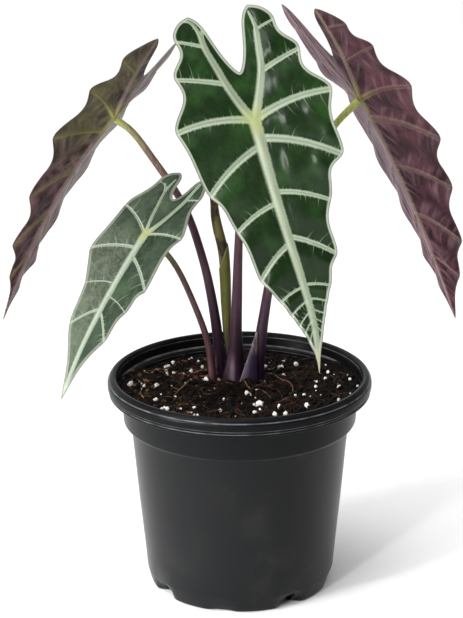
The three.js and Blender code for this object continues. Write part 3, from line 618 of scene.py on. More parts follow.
def soft_streaks(add, line, lean, curl, pitch, length, low, high):
    """Soft uneven streaks across a bay, along its side veins, that fade halfway over it."""
    gap, _, lane = arc_lanes(add, line, lean, curl, pitch)
    grain = add("flat noise", add("join", lane, add("DIVIDE", gap, length)), 1, 2)
    return add("MULTIPLY", add("soft", grain, low, high), add("soft", gap, 13, 5))


def vein_masks(add, line, ragged, inner, outer):
    """How much a vein's band shows at a place, its fine middle line, and the lines of its edges."""
    gap, _, half = add("split", line).outputs
    ratio = add("DIVIDE", gap, add("MULTIPLY", half, ragged))
    off = add("ABSOLUTE", add("SUBTRACT", ratio, 0.72))
    return add("soft", ratio, outer, inner), add("soft", ratio, 0.4, 0.12), add("soft", off, 0.38, 0.1)


def leaf_maps(add):
    """The maps that each leaf carries: its flat outline, ribs, spine, margin and stalk, the place
    across its spine and the way out along its ribs."""
    return [add("map", uv_map="flat").outputs["UV"]] + [
        add("attribute", attribute_name=name).outputs[output] for name, output in (
            ("rib_line", "Vector"), ("spine_line", "Vector"), ("edge_gap", "Fac"),
            ("from_stalk", "Fac"), ("spine_across", "Fac"), ("outward", "Fac"))]


def leaf_upper(name, deep, fresh, rib, spine_shaded_stops, gloss, shine, wrinkle, margin, painted_sheen,
               deeper=0.0):
    """The upper side of a living leaf: a thick waxed skin, deep green and glossy, between pale veins 3 to 6
    mm wide. The midrib is rounded and pale, with painted light on its left and painted shade on its right,
    a rib has a fine darker groove, and short side veins leave both every few millimetres. A painted grey
    sheen, standing for a reflection, lies on the left half and the right half, in given shares and a given
    colour. deeper is how much the green deepens towards the tip."""
    material, add = new_material(name)
    flat, ribs, spine, edge, stalk, across, outward = leaf_maps(add)
    forward, aside, _ = add("split", flat).outputs
    ragged = add("range", add("noise", flat, 70, 3), 0.3, 0.7, 0.9, 1.1)
    rib_band, rib_core, _ = vein_masks(add, ribs, ragged, 0.55, 1.2)
    spine_band, _, _ = vein_masks(add, spine, ragged, 0.8, 1.25)
    # The left edge of the midrib is softer than its right edge.
    spine_band = add("MINIMUM", spine_band, add("soft", across, -1.35, -0.5))

    # The green of the blade, brighter in soft patches, with faint streaks along the side veins.
    cloud = add("noise", flat, 7, 4, 0.55)
    green = add("blend", add("soft", cloud, 0.42, 0.72), deep, fresh)
    streaks = soft_streaks(add, ribs, 0.4, 0.03, 2.2, 9, 0.45, 0.8)
    green = add("blend", add("MULTIPLY", streaks, 0.4), green, fresh)
    # Painted sheen: a grey reflection painted over the left half and the right half in given shares, weaker
    # on the lobes and broken up along fine wrinkles.
    crease = add("noise", flat, 24, 6, 0.72, inputs={"Distortion": 1.5})
    grey = add("range", aside, 0.98, 1.02, painted_sheen[0], painted_sheen[1])
    grey = add("MULTIPLY", grey, add("range", forward, 0.95, 1.15, 0.3, 1))
    grey = add("MULTIPLY", grey, add("range", crease, 0.4, 0.62, 0.25, 1))
    green = add("blend", grey, green, painted_sheen[2])
    green = add("blend", add("range", forward, 1.3, 1.75, 0, deeper), green, "0a1c06")

    # Short side veins along every rib, denser outwards, and a few fine ones that curl to the margin.
    growth = add("range", outward, 0.1, 0.8, 0.35, 1)
    short = spur_lines(add, ribs, 1.9, 0.02, 0.01, (0.2, 3.6), 3.4, 0.4, growth)
    keel = spur_lines(add, spine, 2.6, 0.25, 0.03, (0.2, 2), 3, 0.45)
    long = spur_lines(add, ribs, 5.2, 0.1, 0.022, (1, 17), 2.4, 0.42, growth)
    green = add("blend", add("MULTIPLY", add("MAXIMUM", short, keel), 0.55), green, rib)
    green = add("blend", add("MULTIPLY", long, 0.4), green, "8fa580")

    # Veins. They turn yellow-green where they meet at the stalk.
    strand = add("range", add("noise", flat, 75, 4, 0.7), 0.42, 0.75, 0, 0.35)
    ribbed = add("blend", add("MULTIPLY_ADD", rib_core, 0.5, strand), rib, "6d7c64")
    veined = add("blend", rib_band, green, ribbed)
    # The midrib's own pale colour, with painted light on its left and painted shade on its right.
    ridge = set_ramp(add("ramp", add("range", across, -1.2, 1.2)), spine_shaded_stops)
    ridge = add("blend", strand, ridge, "8f9b84")
    # It darkens towards the tip, and the lobes' own spines are darker, with a fine groove.
    lobes = add("range", forward, 1, 0.88, 0, 1)
    darker = add("MULTIPLY_ADD", lobes, 0.6, add("range", forward, 1.4, 2.2, 0, 0.6))
    ridge = add("blend", darker, ridge, "84917a")
    middle = add("range", add("ABSOLUTE", across), 0.3, 0.05, 0, 0.5)
    ridge = add("blend", add("MULTIPLY", middle, lobes), ridge, "5f6f57")
    veined = add("blend", spine_band, veined, ridge)
    band = add("MAXIMUM", rib_band, spine_band)
    heart = add("MULTIPLY", add("soft", stalk, 13, 1, 0, 0.8), band)
    veined = add("blend", heart, veined, "9aa268")

    # A pale line over a millimetre wide follows the margin, and turns mauve-grey at the very edge.
    colour = add("blend", add("soft", edge, 1.8, 1.1, 0, margin), veined, "a5af99")
    colour = add("blend", add("soft", edge, 0.6, 0.25, 0, 0.8), colour, "6a5f66")
    # The drip tip dries to a straw yellow.
    tip = add("soft", forward, TIP_AT - 0.16, TIP_AT - 0.02, 0, 0.65)
    colour = add("blend", add("MULTIPLY", tip, band), colour, "b3ad8a")

    fine = add("noise", flat, wrinkle[0], 3)
    rough = add("mix", band, gloss, gloss + 0.16)
    return finish_skin(material, colour, rough, (fine, wrinkle[1], 0.0006), shine, 1.42)


def leaf_under(name, deep, light, lobe_deep, lobe_light, streak, vein, midrib, shade, outer, strip,
               strip_side, show, twin=0.0):
    """The underside of the leaf: a satin purple skin, clouded over a centimetre or so, with raised ribs in
    a dull green or pink and paler streaks along the side veins. The lobes have a tint of their own, the
    bays darken in patches towards the midrib, and one half, on strip_side of the midrib, has pale
    lengthwise streaks, partly the skin's own and partly a painted sheen. outer is how wide a vein is and
    show how strong. twin shows a vein's two edges more than its crest."""
    material, add = new_material(name)
    flat, ribs, spine, edge, stalk, _, _ = leaf_maps(add)
    forward, aside, _ = add("split", flat).outputs
    ragged = add("range", add("noise", flat, 60, 3), 0.3, 0.7, 0.8, 1.2)
    rib_band, _, rib_sides = vein_masks(add, ribs, ragged, 0.1, outer)
    spine_band, _, _ = vein_masks(add, spine, ragged, 0.1, 0.75)

    share = add("soft", add("noise", flat, 8, 5, 0.62), 0.36, 0.66)
    lobe, body = add("blend", share, lobe_deep, lobe_light), add("blend", share, deep, light)
    skin = add("blend", add("soft", forward, 1.05, 1.5), lobe, body)
    patch = add("soft", add("noise", flat, 13, 4, 0.6), 0.4, 0.58)
    inner = add("soft", add("split", spine).outputs[0], 17, 5)
    dark = add("MULTIPLY", inner, add("soft", add("split", ribs).outputs[0], 2, 7))
    dark = add("MULTIPLY", add("MULTIPLY", dark, patch), 0.85)
    skin = add("blend", dark, skin, shade)
    streaks = soft_streaks(add, ribs, 0.12, 0.015, 4.2, 22, 0.42, 0.85)
    keel = soft_streaks(add, spine, 0.9, 0.05, 4, 16, 0.42, 0.85)
    skin = add("blend", add("MULTIPLY", add("MAXIMUM", streaks, keel), 0.34), skin, streak)
    # Pale streaks run along the half that curls away, partly the skin's own and partly a painted sheen of
    # that half, which is seen edge-on.
    drawn = add("stretch", flat, inputs={"Scale": (3.5, 75, 1)})
    lines = add("range", add("noise", drawn, 1, 3, 0.6), 0.43, 0.58, 0.1, 1)
    half = add("range", aside, 1 - 0.02 * strip_side, 1 + 0.02 * strip_side)
    lines = add("MULTIPLY", add("MULTIPLY", lines, half), 0.8)
    skin = add("blend", lines, skin, strip)

    rib_line = add("MULTIPLY", add("mix", twin, rib_band, rib_sides), show)
    crest = add("MULTIPLY", spine_band, show)
    veined = add("blend", crest, add("blend", rib_line, skin, vein), midrib)
    heart = add("MULTIPLY", add("soft", stalk, 16, 3, 0, 0.9), add("MAXIMUM", rib_line, crest))
    veined = add("blend", heart, veined, "aaac60")
    colour = add("blend", add("soft", edge, 1.1, 0.3, 0, 0.7), veined, "40332c")
    return finish_skin(material, colour, 0.42, (add("noise", flat, 40, 4), 0.4, 0.0006), 0.3, 1.42)


def leaf_rim():
    """The cut-thin edge of the leaf, where the purple of the underside just shows."""
    material, add = new_material("leaf_margin")
    place = add("place").outputs["Object"]
    share = add("range", add("noise", place, 120, 3), 0.35, 0.65)
    return finish_skin(material, add("blend", share, "5d4450", "8a8072"), 0.5)


def spear_skin():
    """The rolled young leaf: a thin waxed skin, fresh olive green in its outer wrap and stained
    brown above it, with a pale lip between them and fine lengthwise veins under a millimetre apart."""
    material, add = new_material("rolled_leaf")
    place = add("place").outputs["Object"]
    around, along, _ = add("split", add("map", uv_map="wrap")).outputs
    height = add("split", place).outputs[2]
    streak = add("noise", add("stretch", place, inputs={"Scale": (1, 1, 0.15)}), 600, 4)
    ramp = set_ramp(add("ramp", along), [
        (0, "3a2030"), (0.12, "4f3a40"), (0.24, "62603a"), (0.36, "5f6123"), (1, "585d1e")])
    stain = add("soft", add("noise", place, 110, 4), 0.42, 0.6)
    brown = add("blend", stain, "6f6a34", "2f1e0d")
    tilt = add("COSINE", add("MULTIPLY", around, 2 * PI))
    lip = add("MULTIPLY_ADD", tilt, LIP_TILT * MM, LIP_HEIGHT * MM)
    above = add("SUBTRACT", height, lip)
    colour = add("blend", add("soft", above, -0.3 * MM, 0.3 * MM), ramp, brown)
    edge = add("soft", add("ABSOLUTE", above), 0.7 * MM, 0.2 * MM, 0, 0.6)
    colour = add("blend", edge, colour, "a09c70")
    # Painted shade darkens the right side of the roll.
    colour = add("blend", add("soft", tilt, 0.35, 0.95, 0, 0.6), colour, "2b2410")
    colour = add("blend", add("range", streak, 0.35, 0.7, 0, 0.4), colour, "2b2a16")
    return finish_skin(material, colour, 0.38, (streak, 0.4, 0.0004), 0.3, 1.42)


def dry_membrane():
    """The stalk's papery sheath: purple where it clings to the stalk, and drying to a pale pinkish
    film at its free edge and tip, mottled over a couple of millimetres."""
    material, add = new_material("papery_sheath")
    place = add("place").outputs["Object"]
    across, up, _ = add("split", add("map", uv_map="wrap")).outputs
    mottle = add("noise", add("stretch", place, inputs={"Scale": (1, 1, 0.3)}), 420, 4)
    reach = add("ADD", up, add("range", mottle, 0.3, 0.7, -0.1, 0.1))
    pale = add("MAXIMUM", add("soft", reach, 0.6, 0.92), add("soft", across, 0.09, 0.02, 0, 0.6))
    film = add("blend", add("range", mottle, 0.35, 0.65), "4f3c45", "8a7674")
    return finish_skin(material, add("blend", pale, "281a2e", film), 0.5, (mottle, 0.4, 0.0004), 0.25)


def floor_paper(settings):
    """Matt white studio paper with a faint tooth."""
    material, add = new_material("studio_paper")
    place = add("place").outputs["Object"]
    return finish_skin(material, tuple(settings.floor), 0.9, (add("noise", place, 900), 0.05, 0.0002), 0.1)


# The pot


def dent_at(azimuth):
    """How far the foot is dented at azimuths in degrees from the front."""
    step = 360 / DENTS
    turn = (azimuth - FIRST_DENT) / step
    nearest = np.round(turn)
    off = np.abs(turn - nearest) * step
    depth = np.where(nearest % 2 == 0, DEEP_DENT, SHALLOW_DENT)
    return depth * (1 - smooth(0.25, 1, off / DENT_HALF))


def rounded(section, reach):
    """A section whose corners are turned into short arcs, with long stretches divided."""
    points = [np.array(section[0], float)]
    for before, corner, after in zip(section, section[1:], section[2:]):
        before, corner, after = (np.array(p, float) for p in (before, corner, after))
        back, ahead = before - corner, after - corner
        sizes = np.linalg.norm(back), np.linalg.norm(ahead)
        cut = min(reach, 0.45 * min(sizes))
        first, last = corner + back / sizes[0] * cut, corner + ahead / sizes[1] * cut
        for t in (0, 0.25, 0.5, 0.75, 1):
            points.append((1 - t) ** 2 * first + 2 * t * (1 - t) * corner + t * t * last)
    points.append(np.array(section[-1], float))
    divided = [points[0]]
    for a, b in zip(points, points[1:]):
        size = np.linalg.norm(b - a)
        longest = 2.2 if max(a[1], b[1]) < 14 and max(a[0], b[0]) > 30 else 12
        parts = max(1, math.ceil(size / longest))
        divided += [mix(a, b, i / parts) for i in range(1, parts + 1)]
    return np.array(divided)


class MASKPLANT_OT_pot(bpy.types.Operator):
    """Make the nursery pot"""
    bl_idname = "mask_plant.pot"
    bl_label = "Pot"

    def execute(self, context):
        settings = context.scene.mask_plant.pot
        section = rounded(POT_SECTION, 0.5)
        rows = len(section) - 1

        def place(across, row):
            radius, height = section[row].T
            azimuth = across * 360 - 180
            low = 1 - np.clip(height / DENT_TOP, 0, 1)
            radius = radius - dent_at(azimuth) * np.sqrt(low) * low * smooth(36, 49, radius)
            turn = np.radians(azimuth)
            return np.stack([radius * np.sin(turn), -radius * np.cos(turn), height], 1)

        pot = wrap("nursery_pot", settings.facets, rows, place, 40)
        for k in range(0, DENTS, 2):
            azimuth = math.radians(FIRST_DENT + k * 360 / DENTS)
            bpy.ops.mesh.primitive_cylinder_add(
                vertices=20, radius=DRAIN_RADIUS * MM, depth=DRAIN_DEPTH * MM,
                location=(DRAIN_OUT * MM * math.sin(azimuth), -DRAIN_OUT * MM * math.cos(azimuth),
                          DRAIN_HEIGHT * MM),
                rotation=(math.radians(DRAIN_LEAN), 0, azimuth))
            drill = context.active_object
            apply_modifier(pot, "BOOLEAN", operation="DIFFERENCE", object=drill)
            bpy.data.objects.remove(drill)
        skins = [pot_plastic(name, settings, shine) for name, shine, _ in PLASTICS]
        finish_piece(pot, skins, "pot_plastic", "pot")
        for face in pot.data.polygons:
            height = face.center.z / MM
            face.material_index = sum(height > bottom for _, _, bottom in PLASTICS[1:])
        return {"FINISHED"}


# The soil


def soil_front(x, y):
    """0 at the back, where the pot's ledge is bare, and 1 where the soil lies over it."""
    azimuth = np.degrees(np.arctan2(x, -y))
    return 1 - smooth(104, 142, np.abs(azimuth - 8))


def ground(x, y):
    """Height of the soil at places given in millimetres."""
    x, y = np.atleast_1d(x).astype(float), np.atleast_1d(y).astype(float)
    radius = np.hypot(x, y)
    front = soil_front(x, y)
    heap = 1.6 * (1 - smooth(8, 40, np.hypot(x + 1, y - 12)))
    lumps = (0.7 * np.sin(0.21 * x + 1.3) * np.sin(0.19 * y + 0.4)
             + 0.6 * np.sin(0.43 * x + 0.17 * y) * np.sin(0.39 * y - 0.13 * x + 2)
             + 0.45 * np.sin(0.81 * x - 0.3 * y + 1) * np.sin(0.74 * y + 0.35 * x))
    level = mix(SOIL_BACK, SOIL_FRONT - 1.2 * (1 - smooth(20, 60, radius)), front)
    fine = np.array([0.9 * noise.fractal((a * 0.24, b * 0.24, 1.7), 0.8, 2.1, 5) for a, b in zip(x, y)])
    calm = 1 - 0.65 * smooth(52, 62, radius)
    return level + heap + (lumps + fine) * calm


def level_at(x, y):
    """Height of the soil at one place."""
    return float(ground(x, y)[0])


def reach_at(x, y):
    """How far out the soil reaches in the direction of a place."""
    return mix(SOIL_SIDE, SOIL_OVER, float(soil_front(x, y)))


class MASKPLANT_OT_soil(bpy.types.Operator):
    """Make the bed of potting mix"""
    bl_idname = "mask_plant.soil"
    bl_label = "Soil"

    def execute(self, context):
        top = 58  # rings over the top of the bed
        wall = [(0, 3.1), *SOIL_WALL, (SOIL_SIDE, 112), (SOIL_SIDE + 0.1, 113), (SOIL_SIDE + 0.1, 114)]
        rows = len(wall) - 1 + top

        def place(across, row):
            turn = across * 2 * PI - PI
            on_wall = row < len(wall)
            base = np.array(wall)[np.minimum(row, len(wall) - 1)]
            radius, height = base[:, 0].copy(), base[:, 1].copy()
            front = soil_front(np.sin(turn), -np.cos(turn))
            rise, over = smooth(0, 0.5, front), (SOIL_OVER - SOIL_SIDE) * smooth(0.5, 1, front)
            # Where it lies over the ledge, the wall's last three rings are lifted to it.
            for index, lifted in ((-3, LEDGE_TOP - 1.1), (-2, LEDGE_TOP + 0.35), (-1, LEDGE_TOP + 0.5)):
                here = row == len(wall) + index
                height[here] = mix(height[here], lifted, rise[here])
            radius[row == len(wall) - 1] += over[row == len(wall) - 1]
            share = np.clip((rows - row) / top, 0, 1)
            inner = (SOIL_SIDE - 0.8 + over) * share
            radius = np.where(on_wall, radius, inner)
            x, y = radius * np.sin(turn), -radius * np.cos(turn)
            level = ground(x, y)
            least = mix(114.3, LEDGE_TOP + 0.8, rise) * smooth(56, 63, radius)
            height = np.where(on_wall, height, np.maximum(level, least))
            return np.stack([x, y, height], 1)

        soil = wrap("soil_bed", 180, rows, place, 60)
        finish_piece(soil, [potting_mix()], "potting_mix", "soil")
        return {"FINISHED"}


def pebble(subdivisions, rough, seed):
    """Corners and faces of one small lump, modelled from an icosphere of radius 1."""
    bpy.ops.mesh.primitive_ico_sphere_add(subdivisions=subdivisions, radius=1)
    ball = bpy.context.active_object
    points = np.array([v.co for v in ball.data.vertices])
    faces = np.array([tuple(p.vertices) for p in ball.data.polygons])
    bumps = np.array([noise.fractal(Vector(p) * 1.1 + Vector((seed * 7.3, 0, 0)), 1, 2, 3) for p in points])
    bpy.data.objects.remove(ball)
    return points * (1 + rough * bumps)[:, None], faces


def scatter(name, shapes, places, material):
    """Copies small shapes into one mesh. A place is (shape, centre, radii, turns, tone)."""
    points, faces, tones = [], [], []
    start = 0
    for shape, centre, radii, turns, tone in places:
        corners, sides = shapes[shape]
        turned = (corners * radii) @ np.array(Euler(turns).to_matrix()).T
        points.append(turned + centre)
        faces.append(sides + start)
        tones.append(np.full(len(corners), tone))
        start += len(corners)
    piece = from_parts(name, np.concatenate(points), np.concatenate(faces).tolist(), 60)
    add_attribute(piece, "tone", np.concatenate(tones))
    finish_piece(piece, [material], "potting_mix")


def in_stalk(x, y, margin):
    """Whether a place on the soil is in a stalk."""
    bases = [points[1] for points in (*STALKS.values(), SPEAR)]
    return any(math.hypot(x - b[0], y - b[1]) < b[3] + margin for b in bases)


def strands(name, paths, material, sides=0):
    """Thin round strands along paths of (x, y, z, radius), as one mesh."""
    curve = bpy.data.curves.new(name, "CURVE")
    curve.dimensions = "3D"
    curve.bevel_depth = MM
    curve.bevel_resolution = sides
    curve.use_fill_caps = True
    for path in paths:
        spline = curve.splines.new("POLY")
        spline.points.add(len(path) - 1)
        for point, (x, y, z, radius) in zip(spline.points, path):
            point.co = (x * MM, y * MM, z * MM, 1)
            point.radius = radius
    select(add_object(name, curve))
    bpy.ops.object.convert(target="MESH")
    piece = bpy.context.active_object
    shade(piece, 60)
    finish_piece(piece, [material], "potting_mix")


class MASKPLANT_OT_litter(bpy.types.Operator):
    """Scatter crumbs, perlite, fibres and roots on the soil"""
    bl_idname = "mask_plant.litter"
    bl_label = "Crumbs and perlite"

    def execute(self, context):
        settings = context.scene.mask_plant.soil
        draw = np.random.default_rng(settings.seed)

        def spot(margin):
            while True:
                angle, far = draw.uniform(-PI, PI), math.sqrt(draw.uniform(0, 1))
                x, y = math.sin(angle), -math.cos(angle)
                reach = mix(SOIL_SIDE - 0.6, SOIL_OVER - 0.2, float(soil_front(x, y))) - margin
                x, y = x * reach * far, y * reach * far
                if not in_stalk(x, y, margin * 0.6):
                    return x, y

        lumps = [pebble(2, 0.5, seed) for seed in range(7)]
        places = []
        for i in range(settings.crumbs):
            size = 0.45 + 1.5 * draw.uniform() ** 3
            x, y = spot(size)
            chip = draw.uniform() < 0.22
            radii = size * (np.array([1.7, 0.8, 0.35]) if chip else draw.uniform(0.7, 1.1, 3))
            dry = 0.36 * float(smooth(5, -42, x)) - 0.1
            tone = (draw.uniform(0.3, 0.9) if chip else 0.65 * draw.uniform() ** 2) + dry
            turns = tuple(draw.uniform(-0.5, 0.5, 2)) + (draw.uniform(0, 2 * PI),)
            centre = (x, y, level_at(x, y) + (0.1 if chip else 0.2) * size)
            places.append((draw.integers(len(lumps)), centre, radii, turns, tone))
        scatter("soil_crumbs", lumps, places, crumb_skin())

        grains = [pebble(3, 0.38, seed + 20) for seed in range(4)]
        places = []
        spots = [(x, y, 0.6 * d) for x, y, d in GRAINS]
        for i in range(settings.specks):
            size = 0.3 + 0.7 * draw.uniform() ** 2
            x, y = spot(size)
            # There are fewer of them on the right.
            if draw.uniform() > 0.6 * float(smooth(-5, 25, x)):
                spots.append((x, y, size))
        for x, y, size in spots:
            radii = size * draw.uniform(0.8, 1.12, 3)
            turns = tuple(draw.uniform(0, 2 * PI, 3))
            centre = (x, y, level_at(x, y) + 0.45 * size)
            places.append((draw.integers(len(grains)), centre, radii, turns, 0.0))
        scatter("perlite_grains", grains, places, perlite())

        fibres = []
        for i in range(settings.fibres):
            x, y = spot(4)
            heading, length = draw.uniform(0, 2 * PI), draw.uniform(4, 15)
            radius, lift, curl = draw.uniform(0.07, 0.17), draw.uniform(0.1, 1.0), draw.uniform(-0.25, 0.25)
            path = []
            for k in range(9):
                height = level_at(x, y) + 0.35 + lift * math.sin(PI * k / 8)
                path.append((x, y, height, radius * (1 - 0.5 * k / 8)))
                heading += curl + draw.uniform(-0.3, 0.3)
                x += math.cos(heading) * length / 8
                y += math.sin(heading) * length / 8
                far = math.hypot(x, y)
                keep = min(1.0, (reach_at(x, y) - 0.8) / max(far, 1))
                x, y = x * keep, y * keep
            fibres.append(path)
        strands("coir_fibres", fibres, fibre_skin("coir_fibre", "2a190f", "7d5130"))

        roots = []
        for points, radius in ROOTS:
            path = centripetal([(x, y, 0) for x, y in points], 26)
            heights = ground(path[:, 0], path[:, 1])
            heights = np.convolve(np.pad(heights, 2, mode="edge"), np.ones(5) / 5, mode="valid")
            roots.append([
                (x, y, h + 0.5 * radius, radius * mix(1, 0.35, i / 25) * (1 + 0.22 * math.sin(i * 1.9)))
                for i, ((x, y, _), h) in enumerate(zip(path, heights))])
        strands("surface_roots", roots, fibre_skin("root_skin", "3b2317", "8a5a38"), 3)
        return {"FINISHED"}


# Stalks, spear and sheath

# Tones along a stalk, from its foot to its blade.
PETIOLES = {
    "centre": [(0.0, "66505a"), (0.07, "442e3a"), (0.12, "210e1c"), (0.3, "25101f"), (0.45, "442a36"),
               (0.62, "53393e"), (0.78, "706850"), (1.0, "98a05e")],
    "left": [(0.0, "43262c"), (0.08, "1f0e1e"), (0.35, "30192a"), (0.58, "4f353d"), (0.74, "715b50"),
             (0.88, "93905f"), (1.0, "b0b770")],
    "right": [(0.0, "2f1c34"), (0.08, "1d0e28"), (0.2, "221022"), (0.46, "43293a"), (0.62, "76704c"),
              (0.78, "9da45c"), (1.0, "b9c068")],
    "low": [(0.0, "4d2e2c"), (0.1, "4a2830"), (0.45, "563a3a"), (0.66, "68534a"), (0.82, "8f8a5e"),
            (1.0, "a5ae68")],
}


def stem(name, points, rings, facets, angle, widen):
    """A closed round stem along points of (x, y, z, radius). widen(across, share, height) gives a
    factor of its radius round it and along it."""
    centres, sides, others, radii = rings_along(points, rings + 1)

    def place(across, row):
        # The first and last rows close the ends.
        ring = np.clip(row - 1, 0, rings)
        turn = across * 2 * PI
        size = np.where((row == 0) | (row == rings + 2), 0, radii[ring])
        size = size * widen(across, ring / rings, centres[ring, 2])
        return (centres[ring] + sides[ring] * (np.cos(turn) * size)[:, None]
                + others[ring] * (np.sin(turn) * size)[:, None])

    return wrap(name, facets, rings + 2, place, angle)


class MASKPLANT_OT_stalks(bpy.types.Operator):
    """Make the leaf stalks"""
    bl_idname = "mask_plant.stalks"
    bl_label = "Stalks"

    def execute(self, context):
        settings = context.scene.mask_plant.stalks
        for name, points in STALKS.items():
            blade = Blade(LEAVES[name])
            end = blade.start - blade.up * (STALK_OFF - 0.5)

            def widen(across, share, height):
                # The base is wrapped by the edge of its own sheath, which leaves a low step.
                step = 0.05 * smooth(0.24, 0.05, share) * np.exp(-((across - 0.66) / 0.035) ** 2)
                # The middle stalk's sheath opens into a wing that clasps its left-hand neighbours.
                if name == "centre":
                    wing = np.exp(-((across - 0.55) / 0.055) ** 2)
                    step = step + 0.62 * smooth(0.3, 0.1, share) * wing
                return 1 + step + 0.012 * np.sin(5 * across * 2 * PI + 9 * share)

            path = points + [(*end, points[-1][3] * 1.1)]
            stalk = stem(f"stalk_{name}", path, settings.rings, settings.facets, 60, widen)
            skin = petiole_skin(f"{name}_petiole_skin", PETIOLES[name], 0.55 if name == "centre" else 0.15)
            finish_piece(stalk, [skin], "petiole_skin", f"petiole_{name}")
        return {"FINISHED"}


class MASKPLANT_OT_spear(bpy.types.Operator):
    """Make the rolled young leaf and the papery sheath"""
    bl_idname = "mask_plant.spear"
    bl_label = "Spear and sheath"

    def execute(self, context):
        def widen(across, share, height):
            # It is thicker in its outer wrap, up to the lip, and a little flat.
            tilt = np.cos(across * 2 * PI)
            wrapped = smooth(0.4, -0.4, height - (LIP_HEIGHT + LIP_TILT * tilt))
            return mix(0.88, 1.03, wrapped) * mix(0.88, 1, tilt ** 2)

        spear = stem("rolled_leaf", SPEAR, 240, 48, 40, widen)
        finish_piece(spear, [spear_skin()], "spear_skin", "spear")

        left, middle, right, tip = (np.array(point, float) for point in SHEATH.values())
        sheath, across, up = start_grid("stalk_sheath", 30, 60)
        f = across[:, None]
        bend = 2 * middle - (left + right) / 2
        foot = (1 - f) ** 2 * left + 2 * f * (1 - f) * bend + f ** 2 * right
        close = mix(1, 0.05, up)[:, None]
        points = right + (foot - right) * close + (tip - right) * up[:, None]
        points[:, 2] = mix(left[2], tip[2], up)
        move_corners(sheath, points)
        apply_modifier(sheath, "SOLIDIFY", thickness=SHEATH_THICK * MM, offset=0)
        close_up(sheath, 60)
        finish_piece(sheath, [dry_membrane()], "sheath_membrane", "sheath")
        return {"FINISHED"}


# Leaves

ROLL = -1  # how far a blade's sides curl down, 40 mm from its midrib
RIB_SWEEP = 0.28  # how far a rib bows towards the stalk, as a share of its length
MARGIN_THICK = 0.34
# How far the midrib stands proud: on the lobes, at the stalk and at the tip.
PROUD = dict(lobes=0.22, stalk=0.42, tip=0.2)
# Half-widths of the pale veins, at their root and at their end.
MIDRIB_WIDE, COSTA_WIDE, FORK_WIDE = (3.35, 1.5), (3, 1.9), (1.2, 0.6)
QUILT = 0.25
MERGE_STEPS = 40  # corners in the same fortieth of a millimetre are one
NO_VEIN = 60.0  # the distance noted where no vein is near
DEEP_INSIDE = 8.0  # the distance from the margin that is noted further in
INNER_ROWS = 22  # rows of faces from a lobe's inner edge to its spine
LINE_BLOCK = 4000  # how many points are measured at a time


class Blade:
    """A leaf's own coordinates: s mm forward along the midrib from the stalk and w mm sideways."""

    def __init__(self, shape):
        self.shape = shape
        self.start, tip, up = (np.array(shape[key], float) for key in ("junction", "tip", "face"))
        self.along = tip - self.start
        chord = np.linalg.norm(self.along)
        self.along = self.along / chord
        up = up - self.along * up.dot(self.along)
        self.up = up / np.linalg.norm(up)
        self.across = np.cross(self.up, self.along)
        self.lean = math.radians(shape["droop"]) / 2
        self.length = chord * self.lean / math.sin(self.lean)

    def place(self, s, w, lift):
        shape, lean = self.shape, self.lean
        q = np.clip(s / self.length, 0, 1)
        bend = np.radians(np.where(s >= 0, shape["droop"], shape["recurve"])) / self.length
        angle = bend * s - lean
        run = (np.sin(angle) + math.sin(lean)) / bend
        drop = (math.cos(lean) - np.cos(angle)) / bend
        right = w >= 0
        in_lobe = np.where(right, *(shape[side].get("lobe_fold", 1) for side in ("right", "left")))
        in_lobe = mix(1, in_lobe, smooth(0, shape["sinus"], -s))
        fold = np.radians(np.where(right, shape["fold"]["right"], shape["fold"]["left"]))
        fold = fold * mix(1, shape["fold_tip"], q) * in_lobe
        root = np.hypot(w, FOLD_ROUND)
        rise = root - FOLD_ROUND
        slope = fold * np.abs(w) / root
        height = rise * np.sin(fold) + ROLL * (w / 40) ** 2 + np.cos(slope) * lift
        sideways = (np.sign(w) * (np.abs(w) - rise * (1 - np.cos(fold)) - np.sin(slope) * lift)
                    + shape["sway"] * np.sin(PI * q ** shape["sway_shape"])
                    - shape["turn"] * np.maximum(-s, 0))
        return (self.start + self.along * (run + np.sin(angle) * height)[:, None]
                + self.across * sideways[:, None] + self.up * (-drop + np.cos(angle) * height)[:, None])


